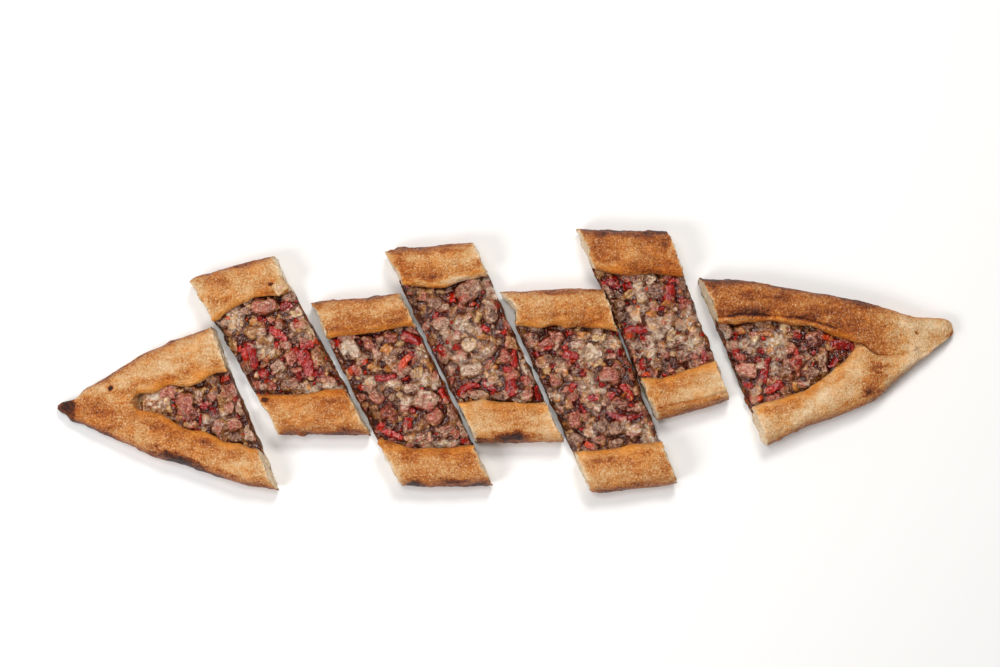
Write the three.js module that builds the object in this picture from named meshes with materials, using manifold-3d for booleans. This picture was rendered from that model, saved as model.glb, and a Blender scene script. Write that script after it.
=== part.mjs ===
// A boat-shaped flatbread filled with diced meat and peppers, cut across into seven slices.
//
// The dough is one long boat: a thin flat base whose two sides are folded over the filling as
// thick puffed rims, and pinched shut at both tips. Six slanting cuts part it, and the slices
// lie slid along their cuts to either side, so the row of slices still keeps the boat's shape.
// Each slice is a piece of bread and the heap of filling in it. The largest pieces of red
// pepper lie on the heaps as pieces of their own, and one flake of onion lies on a rim.
//
// Millimetres, +Z up, standing on z = 0, with X along the boat and -Y the near side.

import * as THREE from "three";
import { mergeVertices } from "three/addons/utils/BufferGeometryUtils.js";
import Module from "manifold-3d";

const wasm = await Module();
wasm.setup();

// ---------------------------------------------------------------- driving dimensions

const BOAT_LENGTH = 506.5;
const BASE_THICKNESS = 5.5;
const FILLING_DEPTH = 7.5; // from the base up to the bare heap, before its pieces
const PIECE_GAP = 0.5; // between the bread and what lies in it

// Rim height along the boat: [distance from the left tip, height].
const RIM_HEIGHTS = [
  [0, 7], [8, 11.5], [25, 16.5], [50, 20], [100, 22.5], [250, 23.5], [400, 22.5], [450, 20.5],
  [480, 16.5], [498, 11.5], [BOAT_LENGTH, 7],
];

// The boat from above, uncut: [distance from the left tip, distance from the long axis].
const OUTER_FAR = [
  [0, 1.5], [9, 5.5], [27, 16], [55, 34], [86, 46.5], [110, 52], [140, 56.3], [190, 59.3],
  [245, 61.5], [300, 59.8], [335, 56], [360, 53.8], [392, 46.5], [421, 37.5], [453, 27.5],
  [479, 15.5], [493, 12], [502, 7.5], [BOAT_LENGTH, 1.5],
];
const OUTER_NEAR = [
  [0, -1.5], [7, -7], [24, -14.5], [54, -28], [84, -38], [114, -47.5], [159, -54], [189, -57],
  [240, -59.5], [300, -62], [322, -62], [344, -59.5], [371, -56.5], [388, -51.5], [406, -46],
  [431, -40], [454, -33.5], [469, -22.5], [489, -11.5], [500, -5.5], [BOAT_LENGTH, -1.5],
];
const LIP_FAR = [
  [0, 0], [25, 2], [47, 5], [53, 8.7], [65, 12], [78, 12.2], [86, 14.5], [95, 19.8], [105, 21.3],
  [116, 27.5], [127, 31.7], [145, 32.2], [155, 34.5], [172, 35], [193, 38], [203, 38], [214, 35.7],
  [228, 35.2], [240, 39.5], [251, 41], [265, 38.2], [280, 39], [304, 35.4], [332, 28.8],
  [348, 28], [366, 24], [398, 22], [410, 17.5], [424, 14], [432, 9], [444, 5], [450, 1.5],
  [478, -2], [BOAT_LENGTH, 0],
];
const LIP_NEAR = [
  [0, 0], [25, 1], [47, 3], [53, -0.3], [62, -2.4], [68, -6.5], [74, -12], [80, -15], [89, -15.8],
  [95, -18.6], [101, -21.6], [110, -21.8], [117, -24.6], [128, -25.5], [150, -27.8], [178, -28.5],
  [190, -33], [199, -35], [233, -35], [245, -34.2], [270, -36.8], [300, -37.5], [336, -34.5],
  [348, -35], [372, -29.8], [387, -26.6], [400, -25], [412, -22], [422, -17.4], [439, -7.4],
  [450, -1], [478, -3], [BOAT_LENGTH, -0.5],
];

// Where the folded rims part and meet again along the boat: [closed, fully open].
const OPENING_START = [44, 58];
const OPENING_END = [453, 438];

// The six cuts: where each crosses the long axis, its slant from square across, in degrees,
// and how far its foot stands out from its top edge on either side. Each leaves two faces,
// the one that ends the slice on its left and the one that begins the slice on its right.
const CUTS = [
  { ends: { at: 111, slant: 22.5 }, begins: { at: 113, slant: 24.3 }, spread: 1.2 },
  { ends: { at: 165.4, slant: 22.8 }, begins: { at: 164.7, slant: 23.4 }, spread: 1.6 },
  { ends: { at: 218.1, slant: 22.5 }, begins: { at: 218.1, slant: 22.5 }, spread: 1 },
  { ends: { at: 269.5, slant: 20.9 }, begins: { at: 269.5, slant: 20.9 }, spread: 1.2 },
  { ends: { at: 324.7, slant: 17.7 }, begins: { at: 324.7, slant: 17.7 }, spread: 0.5 },
  { ends: { at: 373.2, slant: 15 }, begins: { at: 373.2, slant: 14 }, spread: 1.8 },
];

// Each slice as laid: the point of the long axis that it turns about, where that point lies,
// and the turn in degrees.
const PLACES = [
  { about: 0, x: -266.4, y: -43.9, turn: 0.3 },
  { about: 137.85, x: -135.6, y: -9.6, turn: 6 },
  { about: 191.4, x: -59.8, y: -34.5, turn: 3.3 },
  { about: 243.8, x: -15.5, y: -6, turn: 3.4 },
  { about: 297.1, x: 55.9, y: -32.7, turn: 3.3 },
  { about: 348.95, x: 95.2, y: 8.6, turn: 4.9 },
  { about: BOAT_LENGTH, x: 273.6, y: 0.7, turn: 7.7 },
];

const STATION_SPACING = 7.5; // between the sections of bread and filling
const TIP_INSET = 0.6; // of the first and last section from the boat's tips

const MEAT = { count: 15, small: 8.5, large: 13 };
const DICE = { count: 12, small: 5, large: 8.5, thickness: 3 };

// The largest pieces of pepper: the slice, the middle from the left tip and from the axis,
// length, width, the way it points in degrees and the bow of its middle to one side.
const PEPPER_STRIPS = [
  { slice: 2, at: [155.5, -9.5], length: 17, width: 7.5, heading: -74, bow: 1 },
  { slice: 2, at: [141, 9.4], length: 13, width: 5, heading: -42, bow: 0.6 },
  { slice: 2, at: [123.5, -1.5], length: 17, width: 5, heading: -77, bow: 1 },
  { slice: 2, at: [147.5, 26], length: 8, width: 5, heading: -1, bow: 0.4 },
  { slice: 3, at: [199.5, 31.5], length: 13, width: 5.5, heading: -28, bow: 0.6 },
  { slice: 3, at: [194.5, 17], length: 12, width: 5, heading: 52, bow: 1 },
  { slice: 3, at: [185, -25.5], length: 14, width: 4.4, heading: -27, bow: 0.3 },
  { slice: 3, at: [183, 9], length: 13, width: 3.8, heading: 2, bow: -0.6 },
  { slice: 3, at: [217.6, -3.4], length: 9, width: 5, heading: -62, bow: 0.5 },
  { slice: 4, at: [238.5, -26.5], length: 15, width: 3.8, heading: 19, bow: 2.6 },
  { slice: 4, at: [251.5, -25.6], length: 10, width: 3.8, heading: -40, bow: -1 },
  { slice: 4, at: [264.5, -27], length: 12, width: 7, heading: 83, bow: 0.5 },
  { slice: 4, at: [267.5, -10], length: 11, width: 4, heading: 88, bow: 0.6 },
  { slice: 4, at: [224, -3.2], length: 8.5, width: 4.5, heading: -66, bow: 0.4 },
  { slice: 5, at: [285, 20.8], length: 10, width: 5, heading: -17, bow: 0.5 },
  { slice: 5, at: [315.5, -17.3], length: 22, width: 3.8, heading: -4, bow: -3.5 },
  { slice: 5, at: [317.5, -3.6], length: 12, width: 4, heading: -61, bow: 0.8 },
  { slice: 5, at: [297, -5.8], length: 7, width: 3.8, heading: -3, bow: 0 },
  { slice: 6, at: [335, -5], length: 14, width: 4.8, heading: 0, bow: 1 },
  { slice: 6, at: [357.5, 15.5], length: 12, width: 7, heading: 79, bow: 0.6 },
  { slice: 6, at: [324, 24], length: 9.5, width: 5, heading: -28, bow: 0.5 },
  { slice: 7, at: [391, -6.9], length: 16, width: 4.5, heading: 69, bow: 1.2 },
  { slice: 7, at: [436.5, 1.6], length: 12, width: 5.5, heading: -5, bow: 0.4 },
  { slice: 7, at: [394.5, -17.6], length: 12, width: 4.5, heading: 26, bow: -0.8 },
];
const STRIP_THICKNESS = 2.6;
const ONION_FLAKE = { slice: 2, at: [145.4, 36.4], length: 9, width: 8, heading: 38, thickness: 1.5 };

// ---------------------------------------------------------------- small helpers

const radians = THREE.MathUtils.degToRad;
const lerp = THREE.MathUtils.lerp;
const smoothstep = THREE.MathUtils.smoothstep;

// A smooth curve through [position, value] pairs, read at any position along it.
function curveThrough(pairs) {
  return (position) => {
    const last = pairs.length - 2;
    let i = 0;
    while (i < last && position > pairs[i + 1][0]) i += 1;
    const [x0, y0] = pairs[i];
    const [x1, y1] = pairs[i + 1];
    const slope = (a, b) => (b[1] - a[1]) / (b[0] - a[0]);
    const here = slope(pairs[i], pairs[i + 1]);
    const before = i > 0 ? slope(pairs[i - 1], pairs[i + 1]) : here;
    const after = i < last ? slope(pairs[i], pairs[i + 2]) : here;
    const t = THREE.MathUtils.clamp((position - x0) / (x1 - x0), 0, 1);
    const width = x1 - x0;
    return (
      y0 * (1 + 2 * t) * (1 - t) ** 2 +
      before * width * t * (1 - t) ** 2 +
      y1 * t * t * (3 - 2 * t) -
      after * width * t * t * (1 - t)
    );
  };
}

const rimHeight = curveThrough(RIM_HEIGHTS);
const outer = { far: curveThrough(OUTER_FAR), near: curveThrough(OUTER_NEAR) };
const lip = { far: curveThrough(LIP_FAR), near: curveThrough(LIP_NEAR) };

// 0 where the rims are pinched shut, 1 where they lie wholly apart.
function openness(along) {
  return (
    smoothstep(along, OPENING_START[0], OPENING_START[1]) *
    (1 - smoothstep(along, OPENING_END[1], OPENING_END[0]))
  );
}

// Repeatable random numbers from 0 to 1.
function randomFrom(seed) {
  let state = seed >>> 0;
  return () => {
    state = (state + 0x6d2b79f5) >>> 0;
    let t = state;
    t = Math.imul(t ^ (t >>> 15), t | 1);
    t ^= t + Math.imul(t ^ (t >>> 7), t | 61);
    return ((t ^ (t >>> 14)) >>> 0) / 4294967296;
  };
}

// ---------------------------------------------------------------- sections across the boat

const FOOT_INSET = 5; // of the flat base from the bread's widest line
const WIDEST_AT = 0.42; // share of the height at which a rim is widest
const CREST_AT = 0.42; // share of a rim's width, from outside, at which it is highest
const LIP_HEIGHT = 0.66; // share of the rim's height at the folded edge
const UNDERCUT = 3.2; // how far the filling reaches in under the folded edge
const SEAM_DEPTH = 1.4; // of the groove where the rims are pinched shut
const SEAM_WIDTH = 2.4; // across the top of that groove
const ROUND_STEPS = 3; // points on each quarter round of a rim

// One side of the bread's section at a distance along the boat, from the edge of the flat
// underside, out round the rim and back to the floor of the hollow, as [across, up].
function breadSide(along, side) {
  const sign = side === "far" ? 1 : -1;
  const high = rimHeight(along);
  const reach = Math.max(outer[side](along) * sign, 1.2);
  const seam = (lip.far(along) + lip.near(along)) / 2;
  const open = openness(along);
  const groove = Math.min(SEAM_WIDTH / 2, reach * 0.3) * (1 - open);
  const edge = lerp(seam * sign, lip[side](along) * sign, open) + groove;
  const rim = reach - edge;
  const foot = Math.max(reach - FOOT_INSET, reach * 0.45);
  const widest = high * WIDEST_AT;
  const crest = reach - rim * CREST_AT;
  const lipUp = high * lerp(0.94, LIP_HEIGHT, open);
  const floorUp = lerp(lipUp - SEAM_DEPTH * Math.min(1, high / 20), BASE_THICKNESS, open);
  const tuck = UNDERCUT * open;
  const points = [[foot, 0]];
  for (let i = 1; i <= ROUND_STEPS; i += 1) {
    const a = (Math.PI / 2) * (i / ROUND_STEPS);
    points.push([lerp(foot, reach, Math.sin(a)), widest * (1 - Math.cos(a))]);
  }
  for (let i = 1; i <= ROUND_STEPS; i += 1) {
    const a = (Math.PI / 2) * (i / ROUND_STEPS);
    points.push([lerp(crest, reach, Math.cos(a) ** 0.8), lerp(widest, high, Math.sin(a) ** 0.9)]);
  }
  for (let i = 1; i <= ROUND_STEPS; i += 1) {
    const a = (Math.PI / 2) * (i / ROUND_STEPS);
    points.push([lerp(crest, edge, Math.sin(a) ** 0.9), lerp(lipUp, high, Math.cos(a) ** 0.8)]);
  }
  points.push([edge + tuck * 0.45 - groove * 0.2, lerp(floorUp, lipUp, 0.72)]);
  points.push([edge + tuck - groove * 0.45, lerp(floorUp, lipUp, 0.42)]);
  points.push([edge + tuck * 0.9 - groove * 0.7, lerp(floorUp, lipUp, 0.1)]);
  points.push([edge + tuck * 0.3 - groove * 0.8, floorUp]);
  return points.map(([across, up]) => [across * sign, up]);
}

// The bread's whole section, once round, anticlockwise as seen from the right tip.
function breadSection(along) {
  const far = breadSide(along, "far");
  const near = breadSide(along, "near");
  return [...far, ...near.reverse()];
}

// The top of the bare heap: a low dome with slow swells.
function heapTop(along, across) {
  const swell = 0.7 * Math.sin(along / 9.1 + across / 13) + 0.5 * Math.cos(across / 8.3 - along / 17);
  const half = (lip.far(along) - lip.near(along)) / 2;
  const middle = (lip.far(along) + lip.near(along)) / 2;
  const dome = 1 - 0.5 * Math.min(1, Math.abs(across - middle) / Math.max(half, 1)) ** 2;
  return BASE_THICKNESS + (FILLING_DEPTH + swell) * lerp(0.75, 1, dome);
}

const HEAP_COLUMNS = 6; // across the top of the bare heap
const HEAP_INSET = 2.5; // of its two ends from where the rims lie wholly apart
const LEAST_HEAP_WIDTH = 2;

function heapSection(along) {
  const floorUp = BASE_THICKNESS + PIECE_GAP;
  const shoulder = Math.max(lerp(BASE_THICKNESS, rimHeight(along) * LIP_HEIGHT, 0.42), floorUp + 2);
  const middle = (lip.far(along) + lip.near(along)) / 2;
  const half = Math.max(lip.far(along) - lip.near(along), LEAST_HEAP_WIDTH) / 2;
  const under = half + UNDERCUT * 0.9 - PIECE_GAP * 1.5;
  const crown = Math.max(half - 2, half * 0.6);
  const points = [[half, floorUp], [under, floorUp + 1.2], [under, shoulder]];
  for (let i = 0; i <= HEAP_COLUMNS; i += 1) {
    const across = lerp(crown, -crown, i / HEAP_COLUMNS);
    points.push([across, heapTop(along, middle + across)]);
  }
  points.push([-under, shoulder], [-under, floorUp + 1.2], [-half, floorUp]);
  return points.map(([across, up]) => [middle + across, up]);
}

// ---------------------------------------------------------------- lofting a slice

// One end of a slice along the boat: the face of a cut, or a tip with no slant.
function sliceEnd(cut, face, tipAt) {
  if (!cut) return { at: tipAt, tan: 0, spread: 0 };
  return { at: cut[face].at, tan: Math.tan(radians(cut[face].slant)), spread: cut.spread };
}

function sliceEnds(slice) {
  const start = sliceEnd(CUTS[slice - 2], "begins", TIP_INSET);
  const end = sliceEnd(CUTS[slice - 1], "ends", BOAT_LENGTH - TIP_INSET);
  return [start, end];
}

// A closed body through the sections of one slice, whose two end faces follow its cuts.
// spreads says whether the cut faces stand out at the foot by the cuts' spread.
function loftSlice(section, start, end, spreads) {
  const stations = Math.max(5, Math.round((end.at - start.at) / STATION_SPACING)) + 1;
  const count = section((start.at + end.at) / 2).length;
  const positions = [];
  for (let j = 0; j < stations; j += 1) {
    const share = j / (stations - 1);
    const tan = lerp(start.tan, end.tan, share);
    for (let i = 0; i < count; i += 1) {
      let along = lerp(start.at, end.at, share);
      let point = section(along)[i];
      for (let pass = 0; pass < 5; pass += 1) {
        const foot = 1 - Math.min(1, point[1] / rimHeight(along));
        const spread = share === 0 ? -start.spread : share === 1 ? end.spread : 0;
        along = lerp(start.at, end.at, share) - point[0] * tan + (spreads ? spread * foot : 0);
        along = THREE.MathUtils.clamp(along, TIP_INSET, BOAT_LENGTH - TIP_INSET);
        point = section(along)[i];
      }
      positions.push(along, point[0], point[1]);
    }
  }
  const index = [];
  for (let j = 0; j + 1 < stations; j += 1) {
    for (let i = 0; i < count; i += 1) {
      const a = j * count + i;
      const b = j * count + ((i + 1) % count);
      index.push(a, b, b + count, a, b + count, a + count);
    }
  }
  capEnd(positions, index, 0, count, false);
  capEnd(positions, index, (stations - 1) * count, count, true);
  return bodyOf(positions, index);
}

// Closes one end of a loft with triangles over its section.
function capEnd(positions, index, first, count, facesForward) {
  const outline = [];
  for (let i = 0; i < count; i += 1) {
    const at = (first + i) * 3;
    outline.push(new THREE.Vector2(positions[at + 1], positions[at + 2]));
  }
  for (const [a, b, c] of THREE.ShapeUtils.triangulateShape(outline, [])) {
    if (facesForward) index.push(first + a, first + b, first + c);
    else index.push(first + a, first + c, first + b);
  }
}

function bodyOf(positions, index) {
  return new wasm.Manifold(
    new wasm.Mesh({ numProp: 3, vertProperties: new Float32Array(positions), triVerts: new Uint32Array(index) }),
  );
}

// A three.js geometry, in its own place, as a solid.
function solidOf(geometry) {
  const bare = new THREE.BufferGeometry().setAttribute("position", geometry.getAttribute("position"));
  if (geometry.index) bare.setIndex(geometry.index);
  const merged = mergeVertices(bare, 1e-4);
  return bodyOf([...merged.attributes.position.array], [...merged.index.array]);
}

function geometryOf(solid) {
  const mesh = solid.getMesh();
  const geometry = new THREE.BufferGeometry();
  geometry.setAttribute("position", new THREE.BufferAttribute(new Float32Array(mesh.vertProperties), 3));
  geometry.setIndex(new THREE.BufferAttribute(new Uint32Array(mesh.triVerts), 1));
  geometry.computeVertexNormals();
  return geometry;
}

// ---------------------------------------------------------------- pieces in the filling

// A strip or chip of pepper or onion, bowed to one side, lying flat with its middle at 0.
function stripGeometry({ length, width, thickness = STRIP_THICKNESS, bow = 0 }) {
  const w = width / 2;
  const t = thickness / 2;
  const section = new THREE.Shape();
  section.moveTo(-t, -w * 0.75).lineTo(0, -w).lineTo(t, -w * 0.75).lineTo(t, w * 0.75);
  section.lineTo(0, w).lineTo(-t, w * 0.75);
  const path = new THREE.QuadraticBezierCurve3(
    new THREE.Vector3(-length / 2, -bow / 2, 0),
    new THREE.Vector3(0, bow * 1.5, 0),
    new THREE.Vector3(length / 2, -bow / 2, 0),
  );
  return new THREE.ExtrudeGeometry(section, { steps: Math.abs(bow) > 2 ? 6 : 2, extrudePath: path });
}

// A chunk of diced meat: a box with each corner moved a little.
function chunkGeometry(size, random) {
  const box = mergeVertices(
    new THREE.BufferGeometry()
      .setAttribute("position", new THREE.BoxGeometry(size, size * 0.85, size * 0.7).getAttribute("position"))
      .setIndex(new THREE.BoxGeometry(1, 1, 1).index),
  );
  const at = box.attributes.position;
  for (let i = 0; i < at.count; i += 1) {
    const pull = () => 1 - 0.34 * random();
    at.setXYZ(i, at.getX(i) * pull(), at.getY(i) * pull(), at.getZ(i) * pull());
  }
  return box;
}

// Tips a piece a little to either side and turns it to any heading.
function tumble(geometry, tip, random) {
  geometry.rotateX(tip * (random() - 0.5));
  geometry.rotateY(tip * (random() - 0.5));
  geometry.rotateZ(Math.PI * random());
}

// The highest point of the bare heap under a round footprint.
function restingHeight(along, across, radius) {
  let highest = 0;
  for (const [dx, dy] of [[0, 0], [1, 0], [-1, 0], [0, 1], [0, -1], [0.7, 0.7], [-0.7, 0.7], [0.7, -0.7], [-0.7, -0.7]]) {
    highest = Math.max(highest, heapTop(along + dx * radius, across + dy * radius));
  }
  return highest;
}

// How far a point of the filling is from the nearest folded edge.
function roomToLips(along, across) {
  let room = Infinity;
  for (const step of [-5, 0, 5]) {
    room = Math.min(room, lip.far(along + step) - across, across - lip.near(along + step));
  }
  return room;
}

// Evenly scattered places in a slice's filling for pieces of a size from small to large: the
// best of several tries for each, by its distance from the places already taken. None comes
// near the strips that lie on this heap.
function scatter(slice, { count, small, large }, taken, random) {
  const [start, end] = sliceEnds(slice);
  const strips = PEPPER_STRIPS.filter((strip) => strip.slice === slice);
  const places = [];
  for (let n = 0; n < count; n += 1) {
    const size = lerp(small, large, random() ** 1.5);
    const radius = size / 2;
    let best = null;
    for (let attempt = 0; attempt < 60; attempt += 1) {
      const across = lerp(-44, 44, random());
      const share = random();
      const along = lerp(start.at - across * start.tan, end.at - across * end.tan, share);
      if (openness(along - radius) * openness(along + radius) < 0.999) continue;
      if (roomToLips(along, across) < radius + 0.8) continue;
      if (strips.some((strip) => distanceToStrip(along, across, strip) < size * 0.68)) continue;
      let room = Infinity;
      for (const other of taken) {
        room = Math.min(room, Math.hypot(along - other.along, across - other.across) - other.size / 2);
      }
      if (!best || room > best.room) best = { along, across, room, size };
    }
    if (best && best.room > radius * 0.55) {
      taken.push(best);
      places.push(best);
    }
  }
  return places;
}

// From a point of the filling to the nearest edge of a strip, as seen from above.
function distanceToStrip(along, across, { at, length, width, heading, bow }) {
  const dx = along - at[0];
  const dy = across - at[1];
  const angle = radians(heading);
  const lengthwise = dx * Math.cos(angle) + dy * Math.sin(angle);
  const sideways = -dx * Math.sin(angle) + dy * Math.cos(angle);
  const beyondEnd = Math.max(0, Math.abs(lengthwise) - length / 2);
  const beyondSide = Math.max(0, Math.abs(sideways) - width / 2 - Math.abs(bow));
  return Math.hypot(beyondEnd, beyondSide);
}

// The heap of one slice: its core with the chunks and dice that show fused on, cut off
// level with the slice's cuts.
function makeFilling(slice) {
  const random = randomFrom(1000 + slice);
  const [start, end] = sliceEnds(slice);
  const pieces = [loftSlice(heapSection, start, end, false)];
  const taken = [];
  for (const { along, across, size } of scatter(slice, MEAT, taken, random)) {
    const chunk = chunkGeometry(size, random);
    tumble(chunk, 0.5, random);
    chunk.translate(along, across, heapTop(along, across) + size * 0.1);
    pieces.push(solidOf(chunk));
  }
  for (const { along, across, size } of scatter(slice, DICE, taken, random)) {
    const dice = new THREE.BoxGeometry(size, size * lerp(0.5, 0.9, random()), DICE.thickness);
    tumble(dice, 0.7, random);
    dice.translate(along, across, heapTop(along, across) + DICE.thickness * 0.2);
    pieces.push(solidOf(dice));
  }
  let heap = wasm.Manifold.union(pieces);
  heap = trimAtCut(heap, slice > 1 ? start : { at: OPENING_START[1] + HEAP_INSET, tan: 0 }, 1);
  const last = slice === PLACES.length;
  heap = trimAtCut(heap, last ? { at: OPENING_END[1] - HEAP_INSET, tan: 0 } : end, -1);
  return heap;
}

// Cuts a solid off at the upright plane of a cut, keeping the side that lies along sign * X.
function trimAtCut(solid, { at, tan }, sign) {
  const normal = new THREE.Vector2(1, tan).normalize();
  return solid.trimByPlane([normal.x * sign, normal.y * sign, 0], normal.x * at * sign);
}

// ---------------------------------------------------------------- materials

const CRUST = new THREE.MeshStandardMaterial({ color: 0xc98d4f, roughness: 0.72 });
const FILLING = new THREE.MeshStandardMaterial({ color: 0x8a6253, roughness: 0.5 });
const RED_PEPPER = new THREE.MeshStandardMaterial({ color: 0xa02a1d, roughness: 0.35 });
const ONION = new THREE.MeshStandardMaterial({ color: 0xd8bd86, roughness: 0.4 });

function meshOf(name, geometry, material) {
  const mesh = new THREE.Mesh(geometry, material);
  mesh.name = name;
  return mesh;
}

// ---------------------------------------------------------------- the flatbread

// A strip turned to its heading and set just above what it lies on.
function layStrip(name, strip, material, restsAt) {
  const mesh = meshOf(name, stripGeometry(strip), material);
  const thickness = strip.thickness ?? STRIP_THICKNESS;
  mesh.rotation.z = radians(strip.heading);
  mesh.position.set(strip.at[0], strip.at[1], restsAt + PIECE_GAP + thickness / 2);
  return mesh;
}

function makeSlice(slice) {
  const group = new THREE.Group();
  const [start, end] = sliceEnds(slice);
  group.add(meshOf(`bread_${slice}`, geometryOf(loftSlice(breadSection, start, end, true)), CRUST));
  group.add(meshOf(`filling_${slice}`, geometryOf(makeFilling(slice)), FILLING));
  PEPPER_STRIPS.filter((strip) => strip.slice === slice).forEach((strip, i) => {
    const restsAt = restingHeight(strip.at[0], strip.at[1], strip.length / 2);
    group.add(layStrip(`pepper_strip_${slice}${"abcde"[i]}`, strip, RED_PEPPER, restsAt));
  });
  if (ONION_FLAKE.slice === slice) {
    const restsAt = rimHeight(ONION_FLAKE.at[0]);
    group.add(layStrip("onion_flake", ONION_FLAKE, ONION, restsAt));
  }
  const { about, x, y, turn } = PLACES[slice - 1];
  const placed = new THREE.Group();
  group.position.x = -about;
  placed.add(group);
  placed.rotation.z = radians(turn);
  placed.position.set(x, y, 0);
  return placed;
}

const flatbread = new THREE.Group();
PLACES.forEach((_, i) => flatbread.add(makeSlice(i + 1)));

// The origin is on the surface that it lies on, under the middle of the whole row.
flatbread.updateMatrixWorld(true);
const middle = new THREE.Box3().setFromObject(flatbread, true).getCenter(new THREE.Vector3());
flatbread.position.set(-middle.x, -middle.y, 0);

export default flatbread;
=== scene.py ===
import math

import bpy
import numpy as np
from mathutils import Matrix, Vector


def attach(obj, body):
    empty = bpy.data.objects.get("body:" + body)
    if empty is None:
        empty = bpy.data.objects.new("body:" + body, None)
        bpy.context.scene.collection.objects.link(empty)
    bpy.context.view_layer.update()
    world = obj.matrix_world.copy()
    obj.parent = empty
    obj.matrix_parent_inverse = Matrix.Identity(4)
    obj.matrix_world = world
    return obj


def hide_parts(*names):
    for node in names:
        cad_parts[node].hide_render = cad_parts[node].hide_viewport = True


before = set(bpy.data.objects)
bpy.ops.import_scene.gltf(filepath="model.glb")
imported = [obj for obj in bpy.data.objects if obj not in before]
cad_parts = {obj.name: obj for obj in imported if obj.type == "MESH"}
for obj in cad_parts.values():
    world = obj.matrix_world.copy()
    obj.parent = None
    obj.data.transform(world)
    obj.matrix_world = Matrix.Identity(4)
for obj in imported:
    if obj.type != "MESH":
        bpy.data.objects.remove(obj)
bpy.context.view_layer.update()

# The looks of a boat-shaped meat flatbread that lies cut into seven slices. Everything is
# worked out in millimetres in the uncut boat ("along" it from the left tip, "across" it
# towards the far side, "up"), and each slice is then laid in its place in the row.

# ------------------------------------------------------------------ the boat's measures

BOAT_LENGTH = 506.5
BASE_THICKNESS = 5.5
TIP_INSET = 0.6
RIM_HEIGHTS = [
    (0, 7), (8, 11.5), (25, 16.5), (50, 20), (100, 22.5), (250, 23.5), (400, 22.5),
    (450, 20.5), (480, 16.5), (498, 11.5), (BOAT_LENGTH, 7),
]
OUTER_FAR = [
    (0, 1.5), (3, 3.3), (7, 4.1), (11, 5.6), (15.7, 10), (27, 16), (55, 34), (86, 46.5), (110, 52),
    (140, 56.3), (190, 59.3), (245, 61.5), (300, 59.8), (335, 56), (360, 53.8), (392, 46.5),
    (421, 37.5), (453, 27.5), (479, 15.5), (493, 11.5), (498, 9), (503, 6.5), (BOAT_LENGTH, 4.5),
]
OUTER_NEAR = [
    (0, -1), (2.4, -3.1), (5.4, -4.7), (8, -8.2), (12.6, -9.3), (16, -10.5), (24, -14.5), (54, -28),
    (84, -38), (114, -47.5), (159, -54), (189, -57), (240, -59.5), (300, -62), (322, -62),
    (344, -59.5), (371, -56.5), (388, -51.5), (406, -46), (431, -40), (454, -33.5), (469, -22.5),
    (488, -12.5), (491.5, -10.5), (493.5, -7), (500, -5), (BOAT_LENGTH, -3.5),
]
LIP_FAR = [
    (0, 0), (25, 3), (42, 6), (47, 8), (52, 8.6), (58, 8.6), (62, 10.2), (67, 12.8), (78, 12.2),
    (86, 14.5), (95, 19.8), (105, 21.3), (116, 27.5), (127, 31.7), (145, 32.2), (155, 34.5),
    (172, 35), (193, 38), (203, 38), (214, 35.7), (228, 35.2), (240, 39.5), (251, 41), (265, 38.2),
    (280, 39), (304, 35.4), (332, 28.8), (348, 28), (366, 24), (398, 22), (410, 17.5), (424, 14),
    (432, 9), (444, 5), (450, 1.8), (454, -3), (458, -6.6), (464, -8.2), (471, -8.7), (478, -7.4),
    (485, -6.6), (493, -7.4), (500, -5), (BOAT_LENGTH, -1.2),
]
LIP_NEAR = [
    (0, 0), (25, 2), (42, 0), (47, -1.6), (52, -2.5), (58, -3.4), (62, -4.4), (67, -7.5), (74, -12),
    (80, -15), (89, -15.8), (95, -18.6), (101, -21.6), (110, -21.8), (117, -24.6), (128, -25.5),
    (150, -27.8), (178, -28.5), (190, -33), (199, -35), (233, -35), (245, -34.2), (270, -36.8),
    (300, -37.5), (336, -34.5), (348, -35), (372, -29.8), (387, -26.6), (400, -25), (412, -22),
    (422, -17.4), (439, -7.4), (450, -1), (454, -4.5), (458, -7.4), (464, -8.8), (471, -9.2),
    (478, -7.9), (485, -7), (493, -7.8), (500, -5.3), (BOAT_LENGTH, -1.4),
]
OPENING_START = (45.3, 49.5)
OPENING_END = (453, 438)

# Each cut: where its left face crosses the axis and its slant, the same for its right
# face, and how far the foot stands out from the top edge.
CUTS = [
    (111, 22.5, 113, 24.3, 1.2), (165.4, 22.8, 164.7, 23.4, 1.6), (218.1, 22.5, 218.1, 22.5, 1),
    (269.5, 20.9, 269.5, 20.9, 1.2), (324.7, 17.7, 324.7, 17.7, 0.5), (373.2, 15, 373.2, 14, 1.8),
]
# Each slice as laid: the point of the axis that it turns about, where that lies, the turn.
PLACES = [
    (0, -266.4, -43.9, 0.3), (137.85, -135.6, -9.6, 6), (191.4, -59.8, -34.5, 3.3),
    (243.8, -15.5, -6, 3.4), (297.1, 55.9, -32.7, 3.3), (348.95, 95.2, 8.6, 4.9),
    (BOAT_LENGTH, 273.6, 0.7, 7.7),
]
ROW_SHIFT = (-3.72, 15.28)
SLICES = range(1, 8)

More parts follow.
